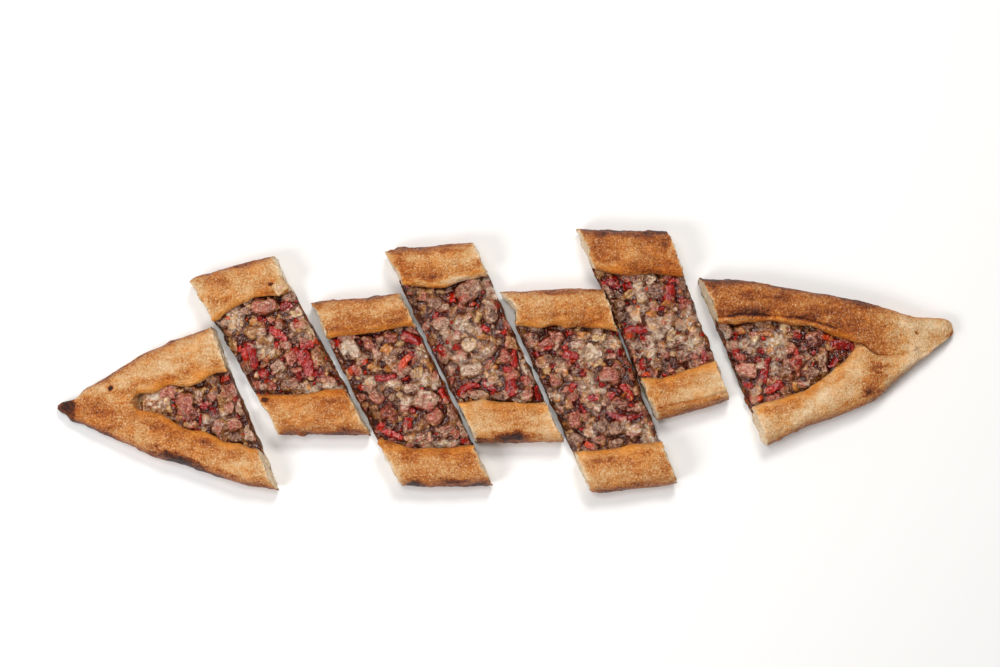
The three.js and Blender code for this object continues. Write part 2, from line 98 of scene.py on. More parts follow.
# The pieces that show in the heaps, slice by slice: where the middle lies along and
# across the boat, length, width and heading in degrees.
MEAT = {
    1: [
        (77, 1, 15.6, 12, 80), (104, 10, 12, 7.8, 15), (111, -1, 9, 8.4, 60),
        (106, -11, 8.4, 7.8, 20), (116, -16, 12, 7.8, 80), (97, -13, 10.2, 6.6, 75),
        (68, 11, 9, 5.4, 0), (108, -19, 7.8, 5.4, 0), (94, 7, 7.2, 5.4, 40), (85, 5, 9.6, 4.8, 85),
        (80, -11, 9, 5.4, 0), (103, -1, 8.4, 6.6, 70),
    ],
    2: [
        (134, 26, 15, 9, 4), (119, 17, 8.4, 6.6, 84), (145, -21, 15.6, 9, -6),
        (156, 15, 10.8, 8.4, 64), (142, 15, 6.6, 5.4, 74), (139, -10, 10.2, 7.8, 14),
        (147, -5, 7.8, 6.6, 24), (169, -22, 9, 5.4, 154), (120, -6, 8.4, 6.6, 64),
        (131, 12, 6.6, 5.4, -6), (122, 25, 9, 5.4, 14), (128, -21, 7.2, 4.8, -6),
    ],
    3: [
        (162, 27, 14.4, 11.4, 117), (187, 33, 9, 6.6, -3), (190, 24, 8.4, 5.4, 37),
        (172, 4, 9, 6.6, 147), (177, -3, 10.8, 6.6, 147), (184, -13, 12.6, 10.2, 127),
        (194, -8, 10.2, 6, 77), (206, -6, 15.6, 10.8, 157), (211, -17, 10.2, 8.4, 37),
        (222, -15, 10.2, 6, 107), (217, -25, 13.2, 7.8, 7), (229, -27, 7.8, 7.2, 87),
        (198, 2, 8.4, 5.4, -3), (188, 4, 9, 5.4, 167), (166, 15, 8.4, 5.4, 117),
        (203, -28, 7.8, 5.4, 27),
    ],
    4: [
        (242, 32, 16.2, 13.8, 27), (222, 27, 9.6, 6.6, 157), (224, 14, 12.6, 8.4, 147),
        (255, 18, 12, 9.6, 107), (240, 16, 7.2, 5.4, 27), (234, -6, 9.6, 8.4, -3),
        (241, -16, 13.2, 8.4, 7), (253, -4, 9, 7.8, 57), (262, -8, 8.4, 6.6, 107),
        (265, -19, 9, 7.2, 27), (275, -24, 8.4, 7.2, -3), (274, -32, 7.8, 6, 17),
        (243, -30, 12, 5.4, 167), (257, -33, 8.4, 4.8, -3), (255, 35, 9.6, 7.8, 97),
    ],
    5: [
        (263, 32, 10.2, 8.4, 117), (271, 28, 9.6, 6.6, 27), (277, 32, 9.6, 6.6, 167),
        (290, 27, 9, 5.4, -3), (308, 7, 13.2, 9.6, 167), (275, 7, 9, 6, 107),
        (285, -3, 9, 7.2, 117), (285, -18, 10.2, 7.8, 97), (313, -10, 10.8, 7.8, 147),
        (323, -13, 7.2, 6, -3), (309, -25, 9.6, 7.8, 17), (320, -27, 10.2, 6.6, 7),
        (285, -30, 9, 6.6, 147), (299, -31, 9.6, 6, -3), (309, -34, 8.4, 5.4, 7),
        (271, 19, 7.2, 5.4, 107),
    ],
    6: [
        (349, 18, 13.2, 9, 5), (327, 11, 9, 5.4, 105), (321, 19, 7.8, 5.4, 135),
        (354, -2, 10.2, 7.2, 115), (342, -13, 9.6, 7.2, 95), (365, -23, 15.6, 7.8, 5),
        (348, -27, 15, 7.8, 165), (362, -13, 9, 6.6, -5), (336, -29, 9, 7.2, 105),
        (372, -28, 8.4, 5.4, 15), (369, -1, 8.4, 6, 105), (347, -4, 7.2, 6, -5),
    ],
    7: [
        (379, -5, 13.2, 8.4, 162), (372, 10, 8.4, 7.2, 52), (424, 8, 13.8, 9.6, 12),
        (426, -5, 9, 6.6, 92), (410, -5, 9.6, 8.4, 72), (403, -9, 9, 6, 12),
        (418, -13, 8.4, 7.2, 52), (413, -18, 7.8, 4.8, -8), (401, -24, 7.2, 4.8, 22),
        (385, 8, 7.8, 6.6, 82), (407, 4, 7.8, 6.6, 12), (371, 18, 6, 4.8, 52), (417, 4, 6, 5.4, -8),
    ],
}
PEPPER = {
    1: [
        (101, 17, 6.6, 4.2, 20), (88, 0, 5.4, 4.2, 150), (94, -2, 5.4, 3.6, 100),
        (86, -8, 7.2, 2.4, 80), (84, -14, 4.8, 2.4, 0), (107, 5, 3.6, 2.4, 50),
    ],
    2: [
        (132, 19, 5.4, 3, 154), (120, -2, 8.4, 4.2, 94), (129, -12, 9.6, 6, 134),
        (131, -18, 4.2, 1.8, -6), (157, 1, 9, 5.4, 4), (164, 3, 6.6, 4.8, 154),
        (152, -2, 7.2, 5.4, 134), (162, -17, 7.2, 4.8, 24), (151, -17, 6, 4.8, 54),
        (152, 16, 4.2, 2.4, 64), (139, 3, 5.4, 3, 74), (117, 3, 4.8, 3.6, 84), (136, 13, 6, 3.6, 4),
    ],
    3: [
        (202, 32, 6.6, 4.2, 157), (208, 28, 3.6, 3.6, -3), (154, 31, 5.4, 4.8, -3),
        (199, 21, 5.4, 4.8, 57), (195, 7, 5.4, 4.2, 27), (168, 4, 4.2, 3.6, -3),
        (179, 36, 4.8, 3.6, -3), (163, 14, 5.4, 4.8, 127), (198, -12, 4.2, 3, 17),
        (195, -19, 6.6, 4.8, 77), (178, -21, 5.4, 4.8, 57), (224, -11, 10.8, 3, 97),
        (229, -32, 6.6, 3, -3), (214, 10, 4.2, 2.4, 87), (171, 19, 4.8, 3, 37),
    ],
    4: [
        (232, 29, 6.6, 4.8, 87), (238, 28, 5.4, 3.6, -3), (244, 25, 4.2, 3.6, -3),
        (222, 19, 5.4, 3.6, 57), (251, 9, 5.4, 3.6, 147), (262, 6, 4.2, 2.4, 27),
        (233, -1, 5.4, 4.2, -3), (272, -22, 3.6, 3, -3), (259, 23, 4.2, 3, 87),
        (263, -17, 5.4, 3.6, -3), (275, -5, 5.4, 3.6, 77), (280, -32, 9.6, 3.6, 97),
        (242, 40, 6.6, 3, 22),
    ],
    5: [
        (282, 26, 4.2, 3.6, -3), (292, 10, 5.4, 3.6, 77), (303, 2, 4.2, 3.6, -3),
        (285, 1, 6.6, 4.8, 67), (290, -12, 9, 2.4, 117), (309, 22, 4.2, 2.4, 157),
        (315, 21, 4.8, 3.6, 87), (308, -5, 5.4, 3.6, 57), (319, -11, 4.2, 2.4, -3),
        (272, 26, 4.2, 3, -3), (274, 15, 3.6, 2.4, 27), (293, -34, 6, 3.6, 147),
        (284, 34, 5.4, 3, 27), (265, 21, 7.8, 4.2, 117), (286, 17, 3.6, 2.4, -3),
        (321, -36, 4.8, 2.4, -3),
    ],
    6: [
        (332, 22, 5.4, 4.8, 15), (360, 23, 6.6, 3.6, 5), (331, -8, 6, 2.4, -5),
        (337, -26, 8.4, 3, 90), (339, -32, 5.4, 3, -5), (339, -10, 3.6, 3, -5),
        (352, 7, 3.6, 2.4, 15), (375, -24, 6.6, 4.2, 105), (325, 28, 5.4, 3.6, -5),
        (318, 25, 4.8, 3.6, -5), (364, 11, 4.8, 3, 55),
    ],
    7: [
        (365, 20, 5.4, 3.6, 102), (376, 16, 5.4, 3, 72), (367, 13, 4.2, 2.4, 12),
        (375, 6, 4.2, 4.2, -8), (390, 5, 4.2, 3, 72), (387, 0, 4.2, 3.6, -8),
        (398, -18, 6, 3.6, 32), (385, -23, 5.4, 3, 2), (413, 11, 4.8, 3, 142),
        (410, 1, 5.4, 4.2, 92), (377, -14, 4.8, 3.6, -8), (377, -24, 9, 3, 92),
        (432, -8, 7.5, 4.6, 37), (446, -0.5, 5, 3, 10), (430, 8, 5, 3.4, -20), (363, 32, 6, 3, 92),
        (411, -5, 5.4, 3.6, 52), (380, -15, 4.2, 3, 22),
    ],
}
ONION = {
    1: [
        (66, 3, 5.4, 4.8, 90), (80, -11, 7.2, 3.6, 10), (90, -7, 4.2, 3.6, 0), (94, 9, 5.4, 3, 30),
        (57, 4, 6, 5.4, 0),
    ],
    2: [
        (115, 19, 10.2, 8.4, 14), (127, 18, 7.8, 4.8, -6), (131, 5, 9, 7.2, 134),
        (138, -1, 7.8, 4.8, 114), (161, 9, 10.2, 8.4, 94), (161, -7, 10.8, 6.6, 104),
        (153, 21, 7.2, 4.8, 14), (154, -25, 5.4, 4.8, -6), (169, -26, 7.2, 3.6, 164),
        (131, -2, 7.2, 5.4, 84),
    ],
    3: [
        (183, 24, 12, 6, 57), (192, 28, 12, 6, 7), (207, 25, 7.2, 4.2, 157),
        (211, 14, 11.4, 4.8, 107), (202, 11, 6.6, 6, -3), (226, -22, 9, 6.6, 107),
        (186, 14, 9.6, 3.6, 7), (174, 17, 4.8, 4.2, -3), (196, -28, 7.2, 3.6, 17),
    ],
    4: [
        (241, 0, 9, 8.4, 27), (237, 5, 6.6, 4.2, 17), (248, 5, 6, 4.2, -3), (247, 16, 6.6, 4.8, 67),
        (249, -17, 7.8, 5.4, 127), (253, -22, 5.4, 4.2, 37), (274, -14, 7.8, 4.8, 107),
        (225, 33, 6.6, 4.2, -3), (255, -19, 6, 3, 147),
    ],
    5: [
        (297, 22, 9.6, 7.2, 57), (303, 31, 9, 5.4, -3), (312, 26, 7.8, 5.4, 137),
        (269, 16, 10.8, 4.8, 112), (279, 11, 7.8, 6, -3), (294, -25, 9, 7.2, 67),
        (295, -19, 5.4, 3.6, -3), (317, -6, 6.6, 4.8, 127), (301, 16, 7.2, 4.8, 27),
        (275, -4, 5.4, 3.6, 77), (294, 32, 8.4, 4.8, 167),
    ],
    6: [
        (335, 18, 9, 5.4, 25), (336, 4, 12, 5.4, 95), (345, 5, 7.8, 5.4, 155),
        (355, 10, 5.4, 4.2, 25), (356, -10, 7.2, 4.8, 75), (332, -20, 6, 3.6, 125),
        (368, -5, 9.6, 4.8, 105), (349, -15, 6.6, 4.2, -5), (340, 13, 5.4, 3.6, -5),
    ],
    7: [
        (381, 19, 10.2, 5.4, 2), (394, 16, 10.8, 6, -8), (406, 17, 7.2, 4.2, 162),
        (400, 9, 9.6, 4.8, 12), (395, 4, 7.8, 7.2, 52), (384, -19, 7.8, 6, 22),
        (395, -15, 10.2, 6.6, 2), (408, -19, 6, 4.8, 132), (432, 2, 7.2, 4.8, 12),
        (388, 13, 6, 4.2, 52),
    ],
}
CHEESE = {
    1: [
        (59, 4, 7.2, 6.6, 0), (90, -7, 4.8, 4.2, 0), (110, 7, 7.2, 4.8, 60), (101, -8, 4.8, 3.6, 0),
    ],
    2: [
        (115, 21, 8.4, 7.2, -6), (155, 21, 13.2, 6, 154), (163, 8, 9.6, 8.4, -6),
        (173, -27, 13.2, 4.8, 159), (134, 3, 10.8, 5.4, 124), (157, -25, 8.4, 4.8, -6),
        (129, 1, 4.8, 4.8, -6),
    ],
    3: [
        (209, 5, 15.6, 5.4, 2), (213, -34, 15.6, 4.2, 7), (207, 24, 10.8, 4.8, 147),
        (162, 28, 8.4, 6, -3), (185, 7, 9.6, 4.8, 7), (172, 7, 7.2, 5.4, 117),
        (194, -5, 6, 4.8, -3), (201, -30, 6, 3.6, -3),
    ],
    4: [
        (238, 11, 13.2, 6, 147), (230, 3, 12, 5.4, 117), (253, 41, 5.4, 5.4, -3),
        (254, 30, 9.6, 7.2, 117), (235, -11, 8.4, 5.4, -3), (253, -22, 5.4, 4.8, -3),
        (274, -14, 6, 4.8, 87), (269, -34, 6, 3.6, 17), (247, -5, 9.6, 7.2, 27),
        (241, 0, 7.2, 6, -3),
    ],
    5: [
        (296, 3, 13.2, 8.4, -3), (296, -9, 6, 4.8, -3), (312, 26, 9.6, 7.2, 147),
        (297, 23, 14.4, 12, 57), (275, -4, 4.8, 5.4, 77), (328, -30, 12, 5.4, 102),
        (288, 24, 6, 6, -3), (278, 15, 7.2, 4.8, 117), (321, -25, 9.6, 4.8, -3),
        (294, -25, 6, 9.6, -3),
    ],
    6: [
        (339, 22, 5.4, 3, 155), (344, 25, 8.4, 4.2, 5), (341, -21, 5.4, 3.6, -5),
        (334, -12, 7.2, 4.8, -5), (372, -15, 12, 8.4, 105), (369, -2, 12, 6, 105),
        (336, 4, 10.8, 4.8, 95), (349, -16, 8.4, 4.8, 15), (340, 13, 6, 4.2, -5),
        (359, -7, 13, 8, 105), (347, -6, 11, 7, 60), (364, -18, 8, 5, 0),
    ],
    7: [
        (381, 10, 7.8, 4.8, 12), (368, 17, 5.4, 3, 102), (399, 2, 6, 5.4, 52),
        (388, 8, 8.4, 5.4, 82), (416, -2, 4.2, 3, 82), (393, -6, 3.6, 8.4, 82),
        (399, 10, 9.6, 4.8, -8), (384, -19, 7.2, 4.8, -8),
    ],
}
# The largest pieces of pepper, each a piece of its own: its letter, middle, length, width,
# heading and the bow of its middle to one side.
STRIPS = {
    2: [
        ("a", 155.5, -9.5, 17, 7.5, -74, 1), ("b", 141, 9.4, 13, 5, -42, 0.6),
        ("c", 123.5, -1.5, 17, 5, -77, 1), ("d", 147.5, 26, 8, 5, -1, 0.4),
    ],
    3: [
        ("a", 199.5, 31.5, 13, 5.5, -28, 0.6), ("b", 194.5, 17, 12, 5, 52, 1),
        ("c", 185, -25.5, 14, 4.4, -27, 0.3), ("d", 183, 9, 13, 3.8, 2, -0.6),
        ("e", 217.6, -3.4, 9, 5, -62, 0.5),
    ],
    4: [
        ("a", 238.5, -26.5, 15, 3.8, 19, 2.6), ("b", 251.5, -25.6, 10, 3.8, -40, -1),
        ("c", 264.5, -27, 12, 7, 83, 0.5), ("d", 267.5, -10, 11, 4, 88, 0.6),
        ("e", 224, -3.2, 8.5, 4.5, -66, 0.4),
    ],
    5: [
        ("a", 285, 20.8, 10, 5, -17, 0.5), ("b", 315.5, -17.3, 22, 3.8, -4, -3.5),
        ("c", 317.5, -3.6, 12, 4, -61, 0.8), ("d", 297, -5.8, 7, 3.8, -3, 0),
    ],
    6: [
        ("a", 335, -5, 14, 4.8, 0, 1), ("b", 357.5, 15.5, 12, 7, 79, 0.6),
        ("c", 324, 24, 9.5, 5, -28, 0.5),
    ],
    7: [
        ("a", 391, -6.9, 16, 4.5, 69, 1.2), ("b", 439.5, 2, 16, 6, -12, 0.4),
        ("c", 394.5, -17.6, 12, 4.5, 26, -0.8),
    ],
}
ONION_FLAKE = (145.4, 36.4, 9, 8, 38)

# Where the crust is scorched: the middle along and across, length, width, heading and how
# dark, from a tan shade to black at 1. A negative strength makes a pale mark: real pale
# marks, and on slice 7's near rim a painted highlight along the crest.
SCORCH_AND_SHEEN = {
    1: [
        (33, 11, 3.4, 2.6, 60, 0.7), (74, -31, 20, 6, 165, 0.18), (58, -24, 7.2, 4.8, 170, 0.2),
        (62, -12, 12, 7.2, 0, 0.2), (67, 16, 15.6, 4.8, 10, 0.2), (91, -21, 10.8, 5.4, 165, 0.2),
        (97, 24, 8.4, 3.6, 0, 0.2), (77, -34, 32, 8, 160, 0.26), (102, -40, 15.6, 3, 160, 0.2),
    ],
    2: [
        (140, 39, 3, 2.4, 24, 0.6), (136, 34, 10.8, 3, 2, 0.2), (129, -29.5, 4.2, 3.4, -6, 0.75),
        (112, 33, 9.6, 3, 4, 0.15), (149, 48, 7.2, 3.6, 154, 0.12), (168, -34, 9.6, 3.6, -6, 0.12),
        (176, -52, 8.4, 3, 164, 0.15), (128, 54, 14.4, 3, 14, 0.12), (111, 44, 8.4, 4.8, 4, 0.1),
    ],
    3: [
        (155, 39, 6.6, 3.6, -3, 0.1), (156, 52, 7.2, 3, -3, 0.12), (191, 42, 8.4, 3, 7, 0.12),
        (221, -56, 14.4, 3, -3, 0.3), (197, -56, 12, 4, -3, 0.35), (191, -36, 8.4, 4.2, -3, 0.12),
        (231, -40, 6, 3.6, 27, 0.12), (176, 56, 15.6, 3, 5, 0.15),
    ],
    4: [
        (263, -57, 22, 5.5, -3, 0.42), (244, -58, 8.4, 3, -3, 0.2), (202, 52, 7.2, 5.4, -3, 0.15),
        (225, 36, 8.4, 2.4, 7, 0.1), (249, 48, 7.2, 4.8, -3, 0.1), (284, -42, 4.8, 4.8, -3, 0.1),
        (239, -38, 12, 2.4, -3, 0.12), (232, 56, 18, 3, 2, 0.15), (236, 39, 30, 4.5, 8, -0.4),
        (214, 38, 10, 4, -20, -0.3),
    ],
    5: [
        (253, 54, 8.4, 3.6, -3, 0.12), (301, 40, 8.4, 4.2, -3, 0.1), (279, 38, 15.6, 2.4, 2, 0.1),
        (298, -44, 9.6, 3.6, -3, 0.12), (321, -59, 15.6, 3, -3, 0.2), (328, -40, 9.6, 3, 7, 0.1),
        (281, 58, 18, 3, -3, 0.15), (337, -51, 4.8, 6, -3, 0.12),
    ],
    6: [
        (319, 54, 9.6, 3.6, -5, 0.15), (343, 51, 18, 4.2, -5, 0.15), (357, 43, 7.2, 6, -5, 0.15),
        (347, 29, 18, 2.4, 170, 0.12), (323, 33, 14.4, 2.4, -5, 0.1), (345, -54, 8.4, 3, 5, 0.1),
        (370, -41, 18, 3, 10, 0.12), (378, -51, 9.6, 3, 10, 0.15), (343, -38, 9.6, 2.4, 5, 0.1),
        (383, -37, 6, 6, -5, 0.1),
    ],
    7: [
        (365, 44, 7.2, 8.4, -8, 0.1), (384, 40, 15.6, 4.2, 167, 0.1), (411, 33, 24, 3.6, 164, 0.1),
        # The pale mark at 420 along the near rim's crest is a painted highlight.
        (380, 25, 34, 3.4, 174, -0.3), (414, 18, 30, 3.4, 161, -0.3), (420, -28, 36, 7, 29, -0.2),
        (436, 22, 14.4, 5.4, 162, 0.12), (452, -23, 17, 12, 40, 0.3), (451, -27, 10, 5, 32, 0.12),
        (456, -13, 12, 9, -8, 0.3), (504, 3, 5, 9, 10, 0.2), (474, -8, 8.4, 3.6, -8, 0.12),
        (505, -3, 7.2, 3, 12, 0.3), (397, -29, 24, 3.6, 12, 0.12), (433, -18, 10.8, 3.6, 37, 0.1),
        (484, 3, 2.4, 1.8, -8, 0.6), (474, 3, 1.8, 1.8, -8, 0.4), (437, -33, 13.2, 3, 22, 0.15),
    ],
}
# How brown each rim is, over the general bake: far rim, near rim.
BROWNER = {
    1: (0.0, 0.11), 2: (0.0, 0.19), 3: (0.14, 0.14), 4: (0.1, 0.0), 5: (0.11, 0.08),
    6: (0.24, 0.04), 7: (0.28, 0.0),
}

# Creases in the crust: points along and across, depth and width.
CREASES = {
    7: [([(366, 27.5), (382, 27.8), (400, 24.1), (417, 20), (428, 15.4), (436, 11.9)], 0.8, 0.8)],
    6: [([(352, -52), (372, -50), (386, -47)], 0.5, 0.9)],
}
# Where the filling has sunk or shrunk away and lies deep in shade, and where that shade is
# painted into its colour as well: along, across, length, width and heading.
HOLLOWS = {
    1: [(47, 5, 12, 6, 0), (106, 15, 10, 4, 10)],
    2: [(117, 8, 8, 4, 60), (112, 30, 8, 4, 10)],
    3: [(160, 20, 10, 6, 110), (176, 37, 14, 4, 0)],
    4: [(214, 22, 16, 8, 110), (228, 36, 14, 5, 0), (258, 14, 14, 6, 100), (247, 27, 8, 4, 0)],
    5: [(268, 33, 16, 8, 0), (262, 22, 10, 5, 110)],
    6: [(315, 20, 12, 5, 110), (360, -25, 20, 7, 5)],
    7: [(420, 6, 14, 10, 0), (368, -4, 12, 5, 110), (440, 0, 10, 5, 0)],
}
# Where red juices have stained all the filling: along, across, length, width and heading.
STAINED = {
    2: [(156, -6, 20, 12, 40), (129, -9, 12, 16, 20), (139, 16, 10, 5, 0)],
    3: [(197, 20, 14, 7, 40), (186, 9, 16, 5, 0), (208, -12, 10, 6, 0)],
    4: [(265, -10, 8, 22, 0), (230, 5, 8, 6, 0), (224, 18, 8, 6, 60)],
    5: [(316, -17, 20, 7, 0), (286, -5, 8, 12, 0)],
    6: [(360, 18, 8, 8, 0), (332, -8, 8, 10, 0)],
    7: [(412, -4, 14, 16, 0), (392, -10, 10, 18, 20), (376, 2, 8, 10, 0), (438, 1, 14, 8, 0)],
}
# Scoops out of a cut face: slice, which face, across, depth, width.
SCOOPS = [
    (5, 0, 50, 3.6, 5.5), (3, 0, 50, 1.4, 6), (1, 1, 40, -1.6, 9), (4, 0, 44, 1.2, 5),
    (2, 0, -40, 1.3, 6),
]


# ------------------------------------------------------------------ numbers and noise


def lerp(a, b, t):
    return a + (b - a) * t


def smoothstep(x, low, high):
    t = np.clip((x - low) / (high - low), 0, 1)
    return t * t * (3 - 2 * t)


def curve_through(pairs):
    """A smooth curve through (position, value) pairs."""
    at, value = np.array(pairs, float).T
    chords = np.diff(value) / np.diff(at)
    middle = (value[2:] - value[:-2]) / (at[2:] - at[:-2])
    slope = np.concatenate([chords[:1], middle, chords[-1:]])

    def read(position):
        i = np.clip(np.searchsorted(at, position) - 1, 0, len(at) - 2)
        width = at[i + 1] - at[i]
        t = np.clip((position - at[i]) / width, 0, 1)
        rise = slope[i] * width * t * (1 - t) ** 2 - slope[i + 1] * width * t * t * (1 - t)
        return value[i] * (1 + 2 * t) * (1 - t) ** 2 + value[i + 1] * t * t * (3 - 2 * t) + rise

    return read


rim_height = curve_through(RIM_HEIGHTS)
outer_far, outer_near = curve_through(OUTER_FAR), curve_through(OUTER_NEAR)
lip_far, lip_near = curve_through(LIP_FAR), curve_through(LIP_NEAR)


def openness(along):
    """0 where the rims are pinched shut, 1 where they lie wholly apart."""
    closed, wide = OPENING_END
    return smoothstep(along, *OPENING_START) * (1 - smoothstep(along, wide, closed))


def scrambled(cells, seed):
    """A repeatable whole number for each cell of a grid."""
    x, y, z = cells[..., 0], cells[..., 1], cells[..., 2]
    h = x * 73856093 ^ y * 19349663 ^ z * 83492791 ^ (seed * 2654435761)
    h &= 0xFFFFFFFF
    for shift, factor in ((16, 0x45D9F3B), (15, 0x2C1B3C6D)):
        h = ((h ^ (h >> shift)) * factor) & 0xFFFFFFFF
    return h ^ (h >> 16)


def noise(points, size, seed=0):
    """Smooth noise from about -1 to 1, with swells of that size."""
    p = points / size + seed * 7.31
    cells = np.floor(p).astype(np.int64)
    f = p - cells
    u = f * f * f * (f * (f * 6 - 15) + 10)
    total = np.zeros(points.shape[:-1])
    for corner in np.ndindex(2, 2, 2):
        c = np.array(corner)
        h = scrambled(cells + c, seed)
        slopes = np.stack([h & 1023, (h >> 10) & 1023, (h >> 20) & 1023], -1) / 511.5 - 1
        weight = np.prod(np.where(c == 1, u, 1 - u), -1)
        total += weight * np.sum(slopes * (f - c), -1)
    return total * 1.5


def bubbles(points, size, seed=0):
    """The distance to the nearest of scattered points, as a share of their spacing."""
    p = points / size + seed * 3.7
    cells = np.floor(p).astype(np.int64)
    nearest = np.full(points.shape[:-1], 9.0)
    for step in np.ndindex(3, 3, 3):
        c = cells + np.array(step) - 1
        h = scrambled(c, seed)
        spot = c + np.stack([h & 1023, (h >> 10) & 1023, (h >> 20) & 1023], -1) / 1023
        nearest = np.minimum(nearest, np.sum((p - spot) ** 2, -1))
    return np.sqrt(nearest)


def granules(points, size, seed=0):
    """Rounded grains of that size, packed side by side: 1 at their middles, 0 in between."""
    shift = np.stack([noise(points, size * 0.9, seed + i) for i in range(3)], -1)
    ragged = points + shift * size * 0.25
    return (1.15 - 1.5 * bubbles(ragged, size, seed)).clip(0, 1)


def turned(points, degrees):
    """Points turned about the upright axis."""
    a = math.radians(degrees)
    out = points.copy()
    out[..., 0] = points[..., 0] * math.cos(a) - points[..., 1] * math.sin(a)
    out[..., 1] = points[..., 0] * math.sin(a) + points[..., 1] * math.cos(a)
    return out


def laid(points, k):
    """Points of the uncut boat moved to where slice k lies in the row."""
    about, x, y, turn = PLACES[k - 1]
    return turned(points - (about, 0, 0), turn) + (x + ROW_SHIFT[0], y + ROW_SHIFT[1], 0)


# ------------------------------------------------------------------ meshes


def corner_normals(points, quads):
    """The outward direction at each point of a mesh of quads."""
    across = points[quads[:, 2]] - points[quads[:, 0]]
    along = points[quads[:, 3]] - points[quads[:, 1]]
    facing = np.cross(across, along)
    total = np.zeros_like(points)
    for i in range(4):
        np.add.at(total, quads[:, i], facing)
    return total / np.maximum(np.linalg.norm(total, axis=1), 1e-9)[:, None]


def add_mesh(name, points, quads, material, attributes):
    """A smooth mesh object from points in millimetres. A quad whose last two corners are one
    is a triangle."""
    mesh = bpy.data.meshes.new(name)
    double = quads[:, 2] == quads[:, 3]
    whole, cut = quads[~double], quads[double][:, :3]
    corners = np.concatenate([whole.ravel(), cut.ravel()]).astype(np.int32)
    starts = np.concatenate([np.arange(len(whole)) * 4, len(whole) * 4 + np.arange(len(cut)) * 3])
    mesh.vertices.add(len(points))
    mesh.vertices.foreach_set("co", (points * 0.001).astype(np.float32).ravel())
    mesh.loops.add(len(corners))
    mesh.loops.foreach_set("vertex_index", corners)
    mesh.polygons.add(len(starts))
    mesh.polygons.foreach_set("loop_start", starts.astype(np.int32))
    mesh.update(calc_edges=True)
    mesh.validate()
    mesh.shade_smooth()
    for label, values in attributes.items():
        layer = mesh.attributes.new(label, "FLOAT", "POINT")
        layer.data.foreach_set("value", np.asarray(values, np.float32))
    mesh.materials.append(material)
    piece = bpy.data.objects.new(name, mesh)
    bpy.context.scene.collection.objects.link(piece)
    return piece


def grid_quads(index):
    """The quads between the points of a grid, given their numbers."""
    corners = [index[:-1, :-1], index[:-1, 1:], index[1:, 1:], index[1:, :-1]]
    return np.stack(corners, -1).reshape(-1, 4)


# ------------------------------------------------------------------ the bread

FOOT_INSET = 5
WIDEST_AT = 0.42
CREST_AT = 0.42
LIP_HEIGHT = 0.66
UNDERCUT = 3.2
SEAM_DEPTH = 1.1
SEAM_WIDTH = 1.9
TUCK_SHAPE = curve_through([(0, 0), (0.28, 0.45), (0.58, 1), (0.9, 0.9), (1, 0.3)])
GROOVE_SHAPE = curve_through([(0, 0), (0.28, 0.2), (0.58, 0.45), (0.9, 0.7), (1, 0.8)])


def nose(along):
    """How far the boat has filled out from either tip, rounding it off."""
    share = np.clip(np.minimum(along / 4.5, (BOAT_LENGTH - along) / 6), 0.02, 1)
    return np.sqrt(1 - (1 - share) ** 2)


def rim_point(along, v, sign):
    """A point of one side of the bread's section. v runs from the middle of the underside at
    0 to the foot at 1, the widest line at 2, the crest at 3, the folded lip at 4, the floor's
    edge at 5 and the middle of the floor at 6."""
    high = rim_height(along) * lerp(0.7, 1, nose(along))
    outer = outer_far if sign > 0 else outer_near
    reach = np.maximum(outer(along) * sign, 1.2) * lerp(0.55, 1, nose(along))
    seam = (lip_far(along) + lip_near(along)) / 2
    is_open = openness(along)
    groove = np.minimum(SEAM_WIDTH / 2, reach * 0.2) * (1 - is_open)
    lip = lip_far if sign > 0 else lip_near
    edge = lerp(seam * sign, lip(along) * sign, is_open) + groove
    foot = np.maximum(reach - FOOT_INSET, reach * 0.45)
    widest = high * WIDEST_AT
    crest = reach - (reach - edge) * CREST_AT
    # The left nose is smooth; the right one has a seam that runs out at its near side.
    seamed = smoothstep(along, 200, 300) * (1 - smoothstep(along, 480, 494))
    groove *= lerp(0.2, 1, seamed)
    lip_up = high * lerp(lerp(0.995, 0.96, seamed), LIP_HEIGHT, is_open)
    depth = SEAM_DEPTH * np.minimum(1, high / 20) * seamed
    floor_up = lerp(lip_up - depth, BASE_THICKNESS, is_open)
    tuck = UNDERCUT * is_open
    part = np.minimum(np.floor(v), 5) + 0 * along
    t = v - part
    sin, cos = np.sin(t * math.pi / 2), np.cos(t * math.pi / 2).clip(0)
    cases = [part == i for i in range(6)]
    across = np.select(cases, [
        foot * t,
        lerp(foot, reach, sin),
        lerp(crest, reach, cos**0.8),
        lerp(crest, edge, sin**0.9),
        edge + tuck * TUCK_SHAPE(t) - groove * GROOVE_SHAPE(t),
        lerp(edge + tuck * 0.3 - groove * 0.8, seam * sign, t),
    ])
    up = np.select(cases, [
        0 * high,
        widest * (1 - cos),
        lerp(widest, high, sin**0.9),
        lerp(lip_up, high, cos**0.8),
        lerp(lip_up, floor_up, t),
        floor_up,
    ])
    return across * sign, up


def slice_ends(k):
    """Where slice k starts and ends on the axis, with the tangent of its cut and its spread."""
    if k == 1:
        start = (TIP_INSET, 0, 0)
    else:
        cut = CUTS[k - 2]
        start = (cut[2], math.tan(math.radians(cut[3])), cut[4])
    if k == 7:
        end = (BOAT_LENGTH - TIP_INSET, 0, 0)
    else:
        cut = CUTS[k - 1]
        end = (cut[0], math.tan(math.radians(cut[1])), cut[4])
    return start, end


def stations(length, k):
    """Distances along a slice for its sections, closer together by its ends."""
    even = np.linspace(0, length, round(length / 0.75) + 1)
    close = np.array([0.25, 0.5, 1.1] + ([1.6, 2.2, 2.8] if k in (1, 7) else []))
    return np.unique(np.round(np.concatenate([even, close, length - close]), 4))


def to_polyline(points, corners):
    """The distance, seen from above, from each point to a line through the corners."""
    nearest = np.full(len(points), 1e9)
    for (ax, ay), (bx, by) in zip(corners[:-1], corners[1:]):
        step = np.array([bx - ax, by - ay])
        share = ((points[:, :2] - (ax, ay)) @ step / (step @ step)).clip(0, 1)
        away = points[:, :2] - (ax, ay) - share[:, None] * step
        nearest = np.minimum(nearest, np.linalg.norm(away, axis=1))
    return nearest


